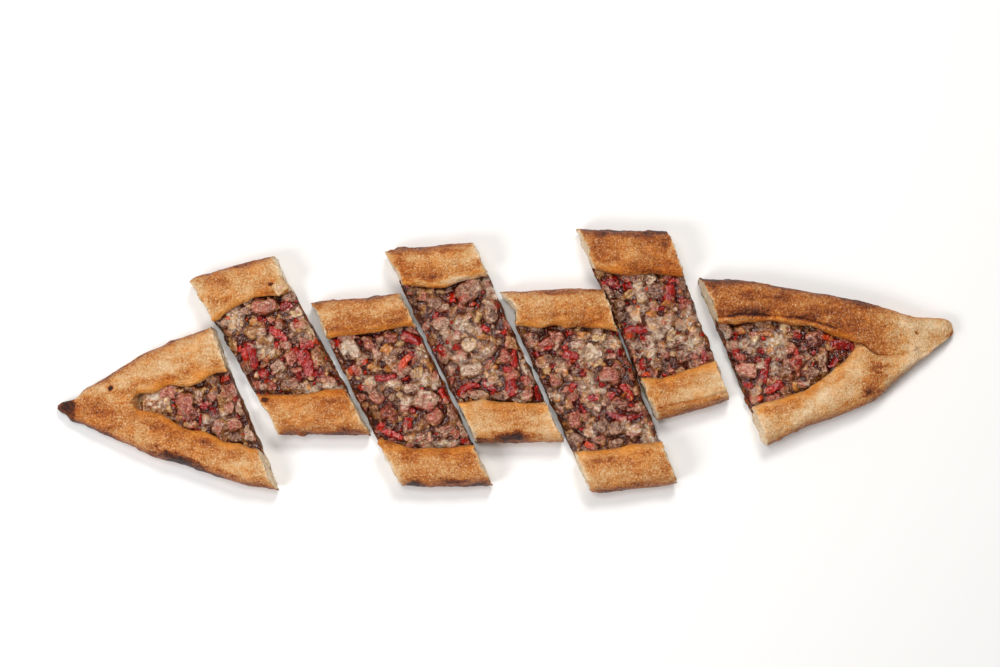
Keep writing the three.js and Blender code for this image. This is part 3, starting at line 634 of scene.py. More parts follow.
def scorch_and_sheen_at(points, k):
    """How much the scorch marks darken each point of slice k's crust."""
    # A negative strength paints a pale mark instead: real pale marks, and on slice 7's near rim a
    # painted highlight.
    dark = np.zeros(len(points))
    ragged = 1 + 0.45 * noise(points, 4, 31) + 0.3 * noise(points, 1.6, 32)
    for along, across, length, width, heading, strength in SCORCH_AND_SHEEN[k]:
        local = turned(points - (along, across, 0), -heading)
        away = np.sqrt((local[:, 0] / length * 2) ** 2 + (local[:, 1] / width * 2) ** 2)
        dark += strength * (1 - smoothstep(away * ragged, 0.35, 1.5))
    return dark * (points[:, 2] > 3)


CAP_ROWS = 16
CUT_REACH = 7.5  # how far from a cut its slice still bends to meet it
NO_CUT = 99  # the distance from a cut where there is none
SPREAD = 0.6  # of how far the cuts' feet stand out, for the crumb shrinks back there
HALF_ROUND = np.concatenate([
    np.linspace(0, 1, 12)[:-1], np.linspace(1, 2, 13)[:-1], np.linspace(2, 3, 22),
])
ROUND = np.concatenate([HALF_ROUND, 6 - HALF_ROUND[-2::-1]])


class Shell:
    """The skin of one slice's bread. Each point knows its place v round the section, its side,
    how far along the slice it is from a cut, and whether it lies on a cut face."""

    def __init__(self):
        self.points, self.v, self.side, self.from_cut, self.on_cap = [], [], [], [], []
        self.quads = []
        self.count = 0

    def add(self, points, v, side, from_cut, on_cap):
        for values, kept in (
            (v, self.v), (side, self.side), (from_cut, self.from_cut), (on_cap, self.on_cap),
        ):
            kept.append(np.zeros(len(points)) + values)
        self.points.append(points)
        self.count += len(points)

    def join(self):
        for name in ("points", "v", "side", "from_cut", "on_cap", "quads"):
            setattr(self, name, np.concatenate(getattr(self, name)))
        self.normals = corner_normals(self.points, self.quads)


def bread_sections(k, steps):
    """The points of slice k's sections, for its far and its near side."""
    start, end = slice_ends(k)
    share = (steps / steps[-1])[:, None]
    tan = lerp(start[1], end[1], share)
    near_start = 1 - smoothstep(steps, 0, CUT_REACH)[:, None]
    near_end = 1 - smoothstep(steps[-1] - steps, 0, CUT_REACH)[:, None]
    sides = []
    for sign in (1, -1):
        along = lerp(start[0], end[0], share) + 0 * ROUND
        across, up = rim_point(along, ROUND, sign)
        for _ in range(6):
            foot = 1 - np.minimum(1, up / rim_height(along))
            along = lerp(start[0], end[0], share) - across * tan
            along = along + SPREAD * (end[2] * near_end - start[2] * near_start) * foot
            along = along.clip(TIP_INSET, BOAT_LENGTH - TIP_INSET)
            across, up = rim_point(along, ROUND, sign)
        sides.append(np.stack([along, across, up], -1))
    return sides


def close_end(shell, index, row, facing, is_cut):
    """Closes one end of a slice with a grid between the outer and the inner half of its ring."""
    skin, count = shell.points[0], index.shape[1]
    last, half = len(ROUND) - 1, len(HALF_ROUND) - 1
    for sign in (1, -1):
        places = np.arange(last + 1) if sign > 0 else (count - np.arange(last + 1)) % count
        outer_row = index[row, places[: half + 1]]
        inner_row = index[row, places[last - np.arange(half + 1)]]
        grid = np.zeros((half + 1, CAP_ROWS + 1), int)
        grid[:, 0], grid[:, -1], grid[half] = outer_row, inner_row, outer_row[half]
        first = 0 if sign > 0 else 1
        rows = np.arange(first, half)
        inside = (CAP_ROWS - 1) * len(rows)
        grid[first:half, 1:-1] = shell.count + np.arange(inside).reshape(len(rows), -1)
        if sign > 0:
            shared = grid[0].copy()
        else:
            grid[0] = shared
        mix = np.arange(1, CAP_ROWS)[None, :, None] / CAP_ROWS
        low, high = skin[outer_row[rows]][:, None], skin[inner_row[rows]][:, None]
        shell.add(lerp(low, high, mix).reshape(-1, 3), 3, sign, 0, is_cut)
        cap = grid_quads(grid)
        if sign * facing > 0:
            cap = cap[:, ::-1]
        # Quads that have run together at the crest become triangles.
        cap = np.where((cap[:, 2] == cap[:, 1])[:, None], cap[:, [3, 0, 1, 1]], cap)
        cap = np.where((cap[:, 0] == cap[:, 3])[:, None], cap[:, [0, 1, 2, 2]], cap)
        cap = np.where((cap[:, 0] == cap[:, 1])[:, None], cap[:, [0, 2, 3, 3]], cap)
        shell.quads.append(cap)


def bread_shell(k):
    """The smooth skin of slice k, before its relief."""
    start, end = slice_ends(k)
    steps = stations(end[0] - start[0], k)
    far, near = bread_sections(k, steps)
    # The ring runs out round the far side to the middle of the floor, and back on the near side.
    last = len(ROUND) - 1
    ring = np.concatenate([far, near[:, last - 1 : 0 : -1]], 1)
    ring_v = np.concatenate([ROUND, ROUND[last - 1 : 0 : -1]])
    ring_side = np.concatenate([np.ones(last + 1), -np.ones(last - 1)])
    count = ring.shape[1]
    index = np.arange(len(steps) * count).reshape(len(steps), count)
    from_start = steps if k > 1 else NO_CUT
    from_end = steps[-1] - steps if k < 7 else NO_CUT
    shell = Shell()
    shell.quads.append(grid_quads(np.concatenate([index, index[:, :1]], 1)))
    shell.add(
        ring.reshape(-1, 3), np.tile(ring_v, len(steps)), np.tile(ring_side, len(steps)),
        np.repeat(np.minimum(from_start, from_end), count), 0,
    )
    close_end(shell, index, 0, -1, k > 1)
    close_end(shell, index, len(steps) - 1, 1, k < 7)
    shell.join()
    return shell


def swells(place, inside):
    """The slow swells of the puffed rims, run out at the tips."""
    shape = 1.15 * noise(place, 36, 1) + 0.75 * noise(place, 14, 2)
    shape += 1.0 * smoothstep(noise(place, 11, 3), 0.35, 0.8) * (1 - inside)
    return shape * (nose(place[:, 0]) * smoothstep(place[:, 0], 2, 20))


def crust_relief(k, shell, shape, inside):
    """How far the crust stands out from the smooth skin."""
    place, on_cap = shell.points, shell.on_cap
    fine = 0.26 * noise(place, 5, 4) + 0.16 * noise(place, 2.4, 5)
    fine += 0.22 * noise(place * (0.3, 1, 1), 3.2, 6) * (1 - inside)
    bubble = np.maximum(0, 0.35 - bubbles(place, 8, 7)) * 1.6
    skin = smoothstep(shell.v, 1.1, 1.8) * (1 - on_cap)
    relief = (shape + fine + bubble) * skin
    for corners, depth, width in CREASES.get(k, []):
        away = to_polyline(place, corners)
        high_up = (place[:, 2] > 12) * (1 - on_cap)
        relief -= depth * np.exp(-((away / width) ** 2)) * high_up
        relief += 0.5 * depth * np.exp(-(((away - 2.2 * width) / width) ** 2)) * high_up
    return relief * (1 - 0.5 * on_cap)


def tear_cuts(k, shell, moved):
    """Tears the edges of the cut faces a little and opens pores in their crumb."""
    place = shell.points
    flat = place * (0.25, 1, 1)
    tear = 1.2 * noise(flat, 8, 8 + k) + 1.0 * noise(flat, 3.2, 18 + k)
    tear = tear + 0.5 * noise(flat, 1.5, 28 + k)
    moved[:, 0] += tear * np.exp(-shell.from_cut / 2.2) * (shell.from_cut < 12)
    for slice_number, face, across, depth, width in SCOOPS:
        if slice_number == k:
            crossing, tangent, _ = slice_ends(k)[face]
            from_face = np.abs(place[:, 0] + place[:, 1] * tangent - crossing)
            push = depth * np.exp(-(((place[:, 1] - across) / width) ** 2))
            push = push * (1 - smoothstep(from_face, 0, 9))
            moved[:, 0] += push * (1 if face == 0 else -1)
    pores = np.maximum(0, 0.42 - bubbles(place * (0.6, 1, 1), 2.6, 9)) * 2.2
    pores += np.maximum(0, 0.4 - bubbles(place * (0.6, 1, 1), 5.5, 10)) * 3.2
    into = np.where(shell.normals[:, 0] > 0, -1, 1)
    moved[:, 0] += into * shell.on_cap * (pores * 1.1 - 0.3 * noise(place, 3, 11))


def draw_out_tips(place, moved):
    """Draws both tips out, the right one towards the far side."""
    moved[:, 0] -= 1.6 * (1 - smoothstep(place[:, 0], 0, 13))
    moved[:, 0] += 1.5 * smoothstep(place[:, 0], BOAT_LENGTH - 16, BOAT_LENGTH)
    moved[:, 1] += 3.2 * smoothstep(place[:, 0], 486, BOAT_LENGTH)


def ridge(v, middle, width):
    """A band along the rim: 1 at its middle, falling off to both sides."""
    return np.exp(-(((v - middle) / width) ** 2))


def browning_and_painted_light(k, shell, shape, inside):
    """How brown each point of the crust is, with painted shade and sheen worked in, and how
    golden the edge of its lip.
    """
    place, v, from_cut = shell.points, shell.v, shell.from_cut
    x = place[:, 0]
    far, near = BROWNER[k]
    rim = np.where(shell.side > 0, far, near) * (1 - smoothstep(x, 455, 475))
    # The left tip is browner. The right tip is paler, partly a pale dusting and partly a painted
    # sheen.
    rim += 0.19 * (1 - smoothstep(x, 20, 50)) - 0.19 * smoothstep(x, 466, 480)
    bake = 0.39 + rim + 0.15 * noise(place, 28, 13) + 0.13 * noise(place * (0.6, 1, 1), 9, 14)
    bake = bake + 0.07 * noise(place * (0.3, 1, 1), 4, 15)
    # Browner along the widest line of the outer sides, partly from the oven and partly painted
    # shade where those sides face away from the light; a little paler along the crest.
    bake += 0.28 * ridge(v, 2.1, 0.38) - 0.08 * ridge(v, 2.9, 0.4)
    bake += 0.1 * ridge(v, 3.34, 0.13) * (0.6 + 1.2 * noise(place, 14, 21)).clip(0, 1)
    bake -= 0.04 * shape
    # The underside is evenly pale, and the inside of the rims is browned only by the cuts.
    underside = 0.42 + 0.16 * noise(place, 8, 16) + 0.12 * noise(place, 3, 17)
    bake = np.where(v < 1.2, underside, bake)
    lining = 0.2 + 0.1 * noise(place, 5, 19) + 0.6 * np.exp(-((from_cut / 4) ** 2))
    bake = lerp(bake, lining, inside)
    # The crust is coloured darker along the creases.
    for corners, depth, width in CREASES.get(k, []):
        bake += 0.3 * depth * np.exp(-((to_polyline(place, corners) / width / 0.8) ** 2))
    scorch_and_sheen = scorch_and_sheen_at(place, k)
    bake += scorch_and_sheen * (1 - inside)
    # The nub that the left tip ends in is burnt.
    burnt = 1 - smoothstep(x + 1.6 * noise(place, 4, 24), 9, 11.5)
    bake = lerp(bake, 0.93 + 0.16 * noise(place, 2.2, 25), burnt)
    pale_edge = 0.5 * np.exp(-from_cut / 1.4) * (1 - inside) * (v < 4.2)
    bake -= pale_edge * (0.6 + noise(place, 3, 23)).clip(0, 1)
    lip = ridge(v, 3.74, 0.24) * openness(x) * (1 - shell.on_cap)
    lip *= (0.8 + 0.8 * noise(place, 12, 20)) * (1 + 2 * np.minimum(scorch_and_sheen, 0)).clip(0, 1)
    return bake, lip


def make_bread(k, material):
    shell = bread_shell(k)
    place, v, on_cap = shell.points, shell.v, shell.on_cap
    inside = smoothstep(v, 4.15, 4.6) * (1 - on_cap) * openness(place[:, 0])
    shape = swells(place, inside)
    moved = place + shell.normals * crust_relief(k, shell, shape, inside)[:, None]
    tear_cuts(k, shell, moved)
    moved[:, 2] = np.maximum(moved[:, 2], 0.05 * (v > 1))
    draw_out_tips(place, moved)
    under = (v < 1) & (on_cap < 0.5)
    uneven = 0.35 * smoothstep(noise(place[under], 13, 12), 0.1, 0.9)
    moved[under, 2] = uneven * smoothstep(v[under] * 3, 0.2, 1)

    bake, lip = browning_and_painted_light(k, shell, shape, inside)
    # Where the filling touches the bread, a cut face is darkened: partly a real stain of juices,
    # partly painted shade at the foot of the cut.
    x, y, z = place.T
    juice_stain_and_shade = (y < lip_far(x) + 2) & (y > lip_near(x) - 2) & (z < 7)
    inside = np.maximum(inside, 0.9 * on_cap * juice_stain_and_shade)
    bake = np.where(on_cap * juice_stain_and_shade > 0, 0.6, bake)
    piece = add_mesh(f"crust_slice_{k}", laid(moved, k), shell.quads, material, {
        "bake": bake.clip(0, 1.2), "crumb": on_cap, "lip": lip.clip(0, 1), "inside": inside,
    })
    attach(piece, "root")
    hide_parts(f"bread_{k}")


# ------------------------------------------------------------------ the heaps of filling

CELL = 0.7  # of the height map of a heap, which the pieces pile up on
SHADE_PASSES = 14  # of softening, before the map tells how deep a point lies
# Where a heap slumps most towards a cut, by slice and side: by what share, and how far in.
SLUMPS = {(1, -1): (0.6, 9), (2, 1): (0.45, 5), (3, 1): (0.4, 5), (4, 1): (0.4, 5)}


def heap_top(along, across):
    """The top of the bare heap: a low dome with slow swells."""
    swell = 0.7 * np.sin(along / 9.1 + across / 13) + 0.5 * np.cos(across / 8.3 - along / 17)
    half = np.maximum((lip_far(along) - lip_near(along)) / 2, 1)
    middle = (lip_far(along) + lip_near(along)) / 2
    dome = 1 - 0.5 * np.minimum(1, np.abs(across - middle) / half) ** 2
    return BASE_THICKNESS + (7.5 + swell) * lerp(0.75, 1, dome)


def torn_line(points, seed):
    """How far the filling is torn back along a cut."""
    flat = points * (0, 1, 0.5)
    coarse = 1.2 * noise(flat, 9, seed) + 1.3 * noise(flat, 3.8, seed + 1)
    return coarse + 0.6 * noise(flat, 1.8, seed + 2)


class Heap:
    """The height map of one slice's filling, and the pieces piled on it so far."""

    def __init__(self, k):
        self.k = k
        self.start, self.end = slice_ends(k)
        self.random = np.random.default_rng(500 + k)
        low = self.start[0] - 26 if k > 1 else 38
        high = self.end[0] + 26 if k < 7 else 460
        self.along = np.arange(low, high, CELL)
        self.across = np.arange(-48, 48, CELL)
        a, c = np.meshgrid(self.along, self.across, indexing="ij")
        flat = np.stack([a, c, 0 * a], -1)
        ends = smoothstep(a, 52, 64) * (1 - smoothstep(a, 444, 456))
        self.height = lerp(BASE_THICKNESS, heap_top(a, c) - 1.2, ends)
        self.height = self.height + 0.7 * noise(flat, 8, 40 + k)
        self.height -= 3.5 * self.near(flat, HOLLOWS.get(k, []), 0)
        self.taken = []
        self.bed = self.height
        self.reds = PEPPER[k] + [strip[1:6] for strip in STRIPS.get(k, [])] + STAINED.get(k, [])

    def cells(self, along, across):
        """The map's cells at any points."""
        i = np.clip(((along - self.along[0]) / CELL).round().astype(int), 0, len(self.along) - 1)
        j = np.clip(((across - self.across[0]) / CELL).round().astype(int), 0, len(self.across) - 1)
        return i, j

    def read(self, field, along, across):
        """A field of the map at any points, smoothly between its cells."""
        x = np.clip((along - self.along[0]) / CELL, 0, len(self.along) - 1.001)
        y = np.clip((across - self.across[0]) / CELL, 0, len(self.across) - 1.001)
        i, j = x.astype(int), y.astype(int)
        s, t = x - i, y - j
        low = lerp(field[i, j], field[i + 1, j], s)
        return lerp(low, lerp(field[i, j + 1], field[i + 1, j + 1], s), t)

    def softened(self, passes):
        """The map with its steps smoothed out."""
        field = self.height.copy()
        for _ in range(passes):
            for axis in (0, 1):
                before, after = np.roll(field, 1, axis), np.roll(field, -1, axis)
                field = 0.5 * field + 0.25 * (before + after)
        return field

    def stamp(self, points):
        """Raises the map to a new piece's points."""
        i, j = self.cells(points[:, 0], points[:, 1])
        np.maximum.at(self.height, (i, j), points[:, 2])

    def raised(self, points, soft):
        """How far points stand out of the heap round them: 0 deep down, 1 well out. It sets the
        painted shade of the filling, and the hollows are painted deeper still.
        """
        down, up = self.slump(points), points[:, 2]
        unslumped = up + 0.7 * np.maximum(up - BASE_THICKNESS, 0) * down / (1 - down)
        out = 0.5 + (unslumped - self.read(soft, points[:, 0], points[:, 1])) / 3.0
        return (out - 0.45 * self.near(points, HOLLOWS.get(self.k, []), 1)).clip(0, 1)

    def near(self, points, places, reach):
        """How near points are, from above, to any of some pieces: 1 on them, falling to 0."""
        ragged = 1 + 0.5 * noise(points, 3.5, 33) + 0.3 * noise(points, 1.5, 34)
        most = np.zeros(points.shape[:-1])
        for along, across, length, width, heading in places:
            local = turned(points - (along, across, 0), -heading)
            x, y = local[..., 0] / (length / 2 + reach), local[..., 1] / (width / 2 + reach)
            away = np.hypot(x, y)
            most = np.maximum(most, 1 - smoothstep(away * ragged, 0.4, 1.15))
        return most

    def limit(self, along, across):
        """The highest that the heap may reach: level with the lips by them, more in the middle."""
        room = np.minimum(lip_far(along) - across, across - lip_near(along))
        spot = np.stack([along, across, 0 * along], -1)
        hollow = 2.5 * self.near(spot, HOLLOWS.get(self.k, []), 0)
        return rim_height(along) * LIP_HEIGHT - 0.6 + 4.2 * smoothstep(room, 0, 13) - hollow

    def slump(self, points):
        """By what share of its height the filling comes down towards the cuts, crumbling away."""
        ragged = 1 + 0.5 * noise(points * (1, 1, 0), 5, 35)
        most = np.zeros(points.shape[:-1])
        for face, is_cut, sign in ((self.start, self.k > 1, 1), (self.end, self.k < 7, -1)):
            if is_cut:
                away = (points[..., 0] + points[..., 1] * face[1] - face[0]) * sign
                share, reach = SLUMPS.get((self.k, sign), (0.32, 3.5))
                most = np.maximum(most, share * (1 - smoothstep(away * ragged, 0, reach)))
        return most

    def slumped(self, points):
        """Points brought down by that share."""
        p = points.copy()
        p[..., 2] -= self.slump(p) * np.maximum(p[..., 2] - BASE_THICKNESS, 0)
        return p

    def kept_in(self, points):
        """Points kept inside the slice: cut off level at its cuts, and under the folded lips."""
        p = self.slumped(points)
        foot = 1 - np.minimum(1, p[:, 2] / rim_height(p[:, 0]))
        if self.k > 1:
            line = self.start[0] - p[:, 1] * self.start[1] - SPREAD * self.start[2] * foot
            p[:, 0] = np.maximum(p[:, 0], line + 0.8 + torn_line(p, 50))
        if self.k < 7:
            line = self.end[0] - p[:, 1] * self.end[1] + SPREAD * self.end[2] * foot
            p[:, 0] = np.minimum(p[:, 0], line - 0.8 - torn_line(p, 60))
        for lip, sign in ((lip_far, 1), (lip_near, -1)):
            beyond = (p[:, 1] - lip(p[:, 0])) * sign
            pressed = (lip(p[:, 0]) * sign + 2 + 0.2 * (beyond - 2)) * sign
            p[:, 1] = np.where(beyond > 2, pressed, p[:, 1])
            cover = rim_height(p[:, 0]) * LIP_HEIGHT - 0.9
            under = smoothstep(beyond, -1.2, 0.4)
            p[:, 2] = lerp(p[:, 2], np.minimum(p[:, 2], cover), under)
        return p

    def scatter(self, count, small, large, spread):
        """Evenly strewn places for more pieces, by the room left between those there are."""
        places = []
        for _ in range(count):
            size = lerp(small, large, self.random.random() ** 1.5)
            tries = 40
            across = self.random.uniform(-42, 42, tries)
            share = self.random.random(tries)
            first = self.start[0] - across * self.start[1]
            last = self.end[0] - across * self.end[1]
            along = lerp(first, last, share)
            good = (openness(along) > 0.9) & (lip_far(along) > across) & (lip_near(along) < across)
            along, across = along[good], across[good]
            if not len(along):
                continue
            room = np.full(len(along), 99.0)
            for a, c, s in self.taken:
                room = np.minimum(room, np.hypot(along - a, across - c) - s * spread)
            best = int(np.argmax(room))
            self.taken.append((along[best], across[best], size / 2))
            width = size * self.random.uniform(0.55, 0.95)
            places.append((along[best], across[best], size, width, self.random.uniform(0, 180)))
        return places


def cube_ball(n):
    """Directions spread over a ball, with the quads between them, from the faces of a cube."""
    steps = np.tan(np.linspace(-math.pi / 4, math.pi / 4, n + 1))
    a, b = np.meshgrid(steps, steps, indexing="ij")
    points, quads = [], []
    for axis in range(3):
        for sign in (1, -1):
            p = np.zeros((n + 1, n + 1, 3))
            p[..., axis], p[..., (axis + 1) % 3], p[..., (axis + 2) % 3] = sign, a * sign, b
            index = np.arange((n + 1) ** 2).reshape(n + 1, n + 1) + len(points) * (n + 1) ** 2
            points.append(p.reshape(-1, 3))
            quads.append(grid_quads(index)[:, ::-1])
    points, quads = np.concatenate(points), np.concatenate(quads)
    merged, inverse = np.unique(np.round(points, 5), axis=0, return_inverse=True)
    return merged / np.linalg.norm(merged, axis=1)[:, None], inverse.reshape(-1)[quads]


PIECE_GRID = 0.85  # the side of a quad on a piece of the filling
BALLS = {n: cube_ball(n) for n in range(5, 15)}


def ball_for(length):
    """A ball divided finely enough for a piece of this length."""
    return BALLS[min(max(round(length / PIECE_GRID), min(BALLS)), max(BALLS))]


def faceted(ball, random, facets, sharpness):
    """A ball cut to a rounded block by its six sides and some random flats."""
    directions, quads = ball
    sides = np.concatenate([np.eye(3), -np.eye(3)])
    extra = random.normal(size=(facets, 3))
    extra /= np.linalg.norm(extra, axis=1)[:, None]
    normals = np.concatenate([sides, extra])
    away = np.concatenate([random.uniform(0.82, 1, 6), random.uniform(0.8, 1.15, facets)])
    reach = np.maximum(directions @ normals.T / away, 0) ** sharpness
    return directions * (reach.sum(1) ** (-1 / sharpness))[:, None], quads


class Kind:
    """The pieces of one kind in one heap, gathered into one mesh."""

    def __init__(self):
        self.points, self.quads, self.tone, self.hue, self.face = [], [], [], [], []
        self.count = 0

    def add(self, points, quads, tone, hue, face=None):
        self.points.append(points)
        self.quads.append(quads + self.count)
        self.count += len(points)
        self.tone.append(np.full(len(points), tone))
        self.hue.append(np.full(len(points), hue))
        self.face.append(np.zeros(len(points)) if face is None else face)

    def make(self, name, heap, material, slot_name):
        points, quads = np.concatenate(self.points), np.concatenate(self.quads)
        piece = add_mesh(name, laid(points, heap.k), quads, material, {
            "tone": np.concatenate(self.tone),
            "hue": np.concatenate(self.hue),
            "face": np.concatenate(self.face),
            "raised": heap.raised(points, heap.softened(SHADE_PASSES)),
            "red": heap.near(points, heap.reds, 2.2),
            "cream": heap.near(points, CHEESE[heap.k], 3.2),
        })
        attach(piece, "root")


def put_down(heap, shape, along, across, height, heading, tilt, sink):
    """A piece turned, tipped and set down on the heap, sunk into it by a share of its height."""
    random = heap.random
    a, b = random.normal(0, tilt, 2)
    x, y, z = shape.T
    y, z = y * math.cos(a) - z * math.sin(a), y * math.sin(a) + z * math.cos(a)
    x, z = x * math.cos(b) + z * math.sin(b), z * math.cos(b) - x * math.sin(b)
    p = np.stack([x, y, z], -1)
    p = turned(p, heading)
    reach = np.abs(p[:, :2]).max() * 0.5
    ring = np.array([(0, 0), (1, 0), (-1, 0), (0, 1), (0, -1)]) * reach
    rest = heap.read(heap.height, along + ring[:, 0], across + ring[:, 1]).mean()
    middle = rest + height * (0.5 - sink)
    middle = min(middle, heap.limit(np.array(along), np.array(across)) - height * 0.5)
    return p + (along, across, middle)


def pile_meat(heap, kind, places, sink, warmth=1.0):
    """Diced meat: rounded blocks with crumbs and fibres. Less warmth makes more of them grey."""
    random = heap.random
    for along, across, length, width, heading in places:
        heap.taken.append((along, across, (length + width) / 4))
        height = max(3.2, width * random.uniform(0.62, 0.9))
        shape, quads = faceted(ball_for(length), random, 7, 7)
        size = np.array([length, width, height]) / 2
        p = shape * size * 1.06
        shift = random.uniform(0, 200, 3)
        outward = shape / np.linalg.norm(shape, axis=1)[:, None]
        lump = 0.12 * min(length, 10) * noise(p + shift, max(width * 0.5, 3), 60)
        crumbly = 0.3 * (granules(p + shift, 2.7, 61) - 0.5) + 0.5 * noise(p + shift, 1.5, 62)
        fibres = 0.7 * noise((p + shift) * (0.25, 1, 1), 1.6, 63)
        small = min(1, width / 6)
        p = p + outward * (lump + small * (crumbly + fibres))[:, None]
        p = put_down(heap, p, along, across, height, heading, 0.22, sink)
        p = heap.kept_in(p)
        heap.stamp(p)
        kind.add(p, quads, random.random(), random.random() * warmth)


def pile_flakes(heap, kind, places, thickness, bend, tilt, sink, rough=0.12):
    """Flat pieces such as diced pepper and onion, bent a little."""
    random = heap.random
    for along, across, length, width, heading in places:
        heap.taken.append((along, across, (length + width) / 4))
        height = thickness * random.uniform(0.8, 1.25)
        shape, quads = faceted(ball_for(length), random, 4, 9)
        p = shape * np.array([length, width, height]) / 2 * 1.06
        face = shape[:, 2]
        shift = random.uniform(0, 200, 3)
        p[:, 1] += random.normal(0, 0.03) * p[:, 0] ** 2
        bow = random.normal(0, bend) * p[:, 0] ** 2 / max(length, 3)
        p[:, 2] += bow + random.normal(0, bend) * p[:, 1] ** 2 / max(width, 3)
        p += (rough * noise(p + shift, 1.6, 64) + 0.2 * noise(p + shift, 4, 65))[:, None] * shape
        p = put_down(heap, p, along, across, height, heading, tilt, sink)
        p = heap.kept_in(p)
        heap.stamp(p)
        kind.add(p, quads, random.random(), random.random(), face)


CHEESE_THICKNESS = 0.7
CHEESE_SPREAD = 1.5  # by how much the patches have run, over the sizes given for them


def melt_cheese(heap, kind, places):
    """Melted patches that drape over what lies below them."""
    random = heap.random
    soft = heap.softened(4)
    rings, spokes = 14, 40
    ring = np.linspace(0, 1, rings + 1)[1:]
    angle = np.linspace(0, 2 * math.pi, spokes, endpoint=False)
    r, a = np.meshgrid(ring, angle, indexing="ij")
    index = np.arange(rings * spokes).reshape(rings, spokes)
    closed = np.concatenate([index, index[:, :1]], 1)
    for along, across, length, width, heading in places:
        shift = random.uniform(0, 200, 3)
        around = np.stack([np.cos(a) * 3, np.sin(a) * 3, 0 * a], -1)
        outline = 1.05 + 0.32 * noise(around + shift, 2.2, 66)
        outline = outline + 0.16 * noise(around + shift, 0.8, 67)
        x = r * outline * np.cos(a) * length / 2 * CHEESE_SPREAD
        y = r * outline * np.sin(a) * width / 2 * CHEESE_SPREAD
        flat = turned(np.stack([x, y, 0 * x], -1), heading).reshape(-1, 3) + (along, across, 0)
        flat = heap.kept_in(flat)
        body = (1 - r.ravel() ** 3) * CHEESE_THICKNESS * (0.8 + 0.5 * noise(flat + shift, 3, 68))
        ripple = 0.3 * noise(flat + shift, 2, 69) + 0.15 * (granules(flat + shift, 3, 72) - 0.5)
        top = heap.read(soft, flat[:, 0], flat[:, 1]) - 0.35 + body + ripple
        top = np.minimum(top, heap.limit(flat[:, 0], flat[:, 1]) + 0.8)
        upper = np.stack([flat[:, 0], flat[:, 1], top], -1)
        centre = upper[:spokes].mean(0, keepdims=True) + (0, 0, 0.05)
        lower = upper - (0, 0, 1) * (0.9 + 0.8 * (1 - r.ravel()))[:, None]
        bottom = lower[:spokes].mean(0, keepdims=True)
        points = np.concatenate([upper, lower, centre, bottom])
        n = rings * spokes
        inner, after = index[0], np.roll(index[0], -1)
        fan = np.stack([np.full(spokes, 2 * n), inner, after, after], -1)
        lower_fan = np.stack([np.full(spokes, 2 * n + 1), after + n, inner + n, inner + n], -1)
        rim, rim_after = closed[-1, :-1], closed[-1, 1:]
        outer = np.stack([rim, rim + n, rim_after + n, rim_after], -1)
        faces = grid_quads(closed)
        quads = np.concatenate([faces[:, ::-1], faces + n, outer, fan, lower_fan])
        kept = heap.kept_in(points)
        heap.stamp(kept[:n])
        kind.add(kept, quads, random.random(), random.random())


PEPPER_THICKNESS = 1.9


def lay_strip(heap, letter, along, across, length, width, heading, bow, material):
    """One of the large strips of pepper, curled and draped over the heap."""
    random = heap.random
    thickness = PEPPER_THICKNESS
    u = np.sin(np.linspace(-1, 1, 46) * math.pi / 2)
    phi = np.linspace(0, 2 * math.pi, 28, endpoint=False)
    uu, pp = np.meshgrid(u, phi, indexing="ij")
    cos, sin = np.cos(pp), np.sin(pp)
    blunt = (1 - np.abs(uu) ** 9).clip(0) ** 0.45
    taper = blunt * (1 - random.uniform(0, 0.25) * uu) * (1 - 0.12 * uu**2)
    edges = np.stack([uu * length / 2, 3 * np.sign(cos), 0 * uu], -1)
    ragged = 1 + 0.3 * noise(edges, 3, int(along))
    y = np.sign(cos) * np.abs(cos) ** 0.6 * width / 2 * taper * ragged
    z = np.sign(sin) * np.abs(sin) ** 0.6 * thickness / 2 * blunt
    x = uu * length / 2 + 0.12 * y * random.normal()
    shift = random.uniform(0, 200, 3)
    shape = np.stack([x, y, z], -1)
    outward = np.stack([0 * x, cos, sin], -1)
    lumps = 0.6 * noise(shape + shift, 4, 70) + 0.22 * noise(shape + shift, 1.6, 71)
    shape = shape + outward * lumps[..., None]
    shape[..., 2] -= shape[..., 1] ** 2 / width * 0.32
    shape[..., 1] += bow * (1 - uu**2) - bow / 2
    p = turned(shape.reshape(-1, 3), heading)
    p[:, :2] += (along, across)
    soft = heap.softened(10)
    rest = heap.read(soft, p[:, 0], p[:, 1])
    rest = 0.45 * rest + 0.55 * rest.mean()
    p[:, 2] += rest + thickness * 0.15
    p = heap.kept_in(p)
    rows, count = uu.shape
    index = np.arange(rows * count).reshape(rows, count)
    closed = np.concatenate([index, index[:, :1]], 1)
    quads = grid_quads(closed)
    ends = p.reshape(rows, count, 3)[[0, -1]].mean(1)
    points = np.concatenate([p, ends])
    tips = rows * count, rows * count + 1
    first = np.stack([np.full(count, tips[0]), closed[0, 1:], closed[0, :-1], closed[0, :-1]], -1)
    last = np.stack([np.full(count, tips[1]), closed[-1, :-1], closed[-1, 1:], closed[-1, 1:]], -1)
    quads = np.concatenate([quads, first, last])
    heap.stamp(p)
    face = np.concatenate([sin.ravel(), [0, 0]])
    tone, hue = random.random(), 1 if (heap.k, letter) == (3, "b") else 0
    full = np.ones(len(points))
    piece = add_mesh(f"red_strip_{heap.k}{letter}", laid(points, heap.k), quads, material, {
        "tone": full * tone, "hue": full * hue, "face": face, "raised": full * 0.8, "red": full,
        "cream": 0 * full,
    })
    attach(piece, "root")
    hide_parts(f"pepper_strip_{heap.k}{letter}")


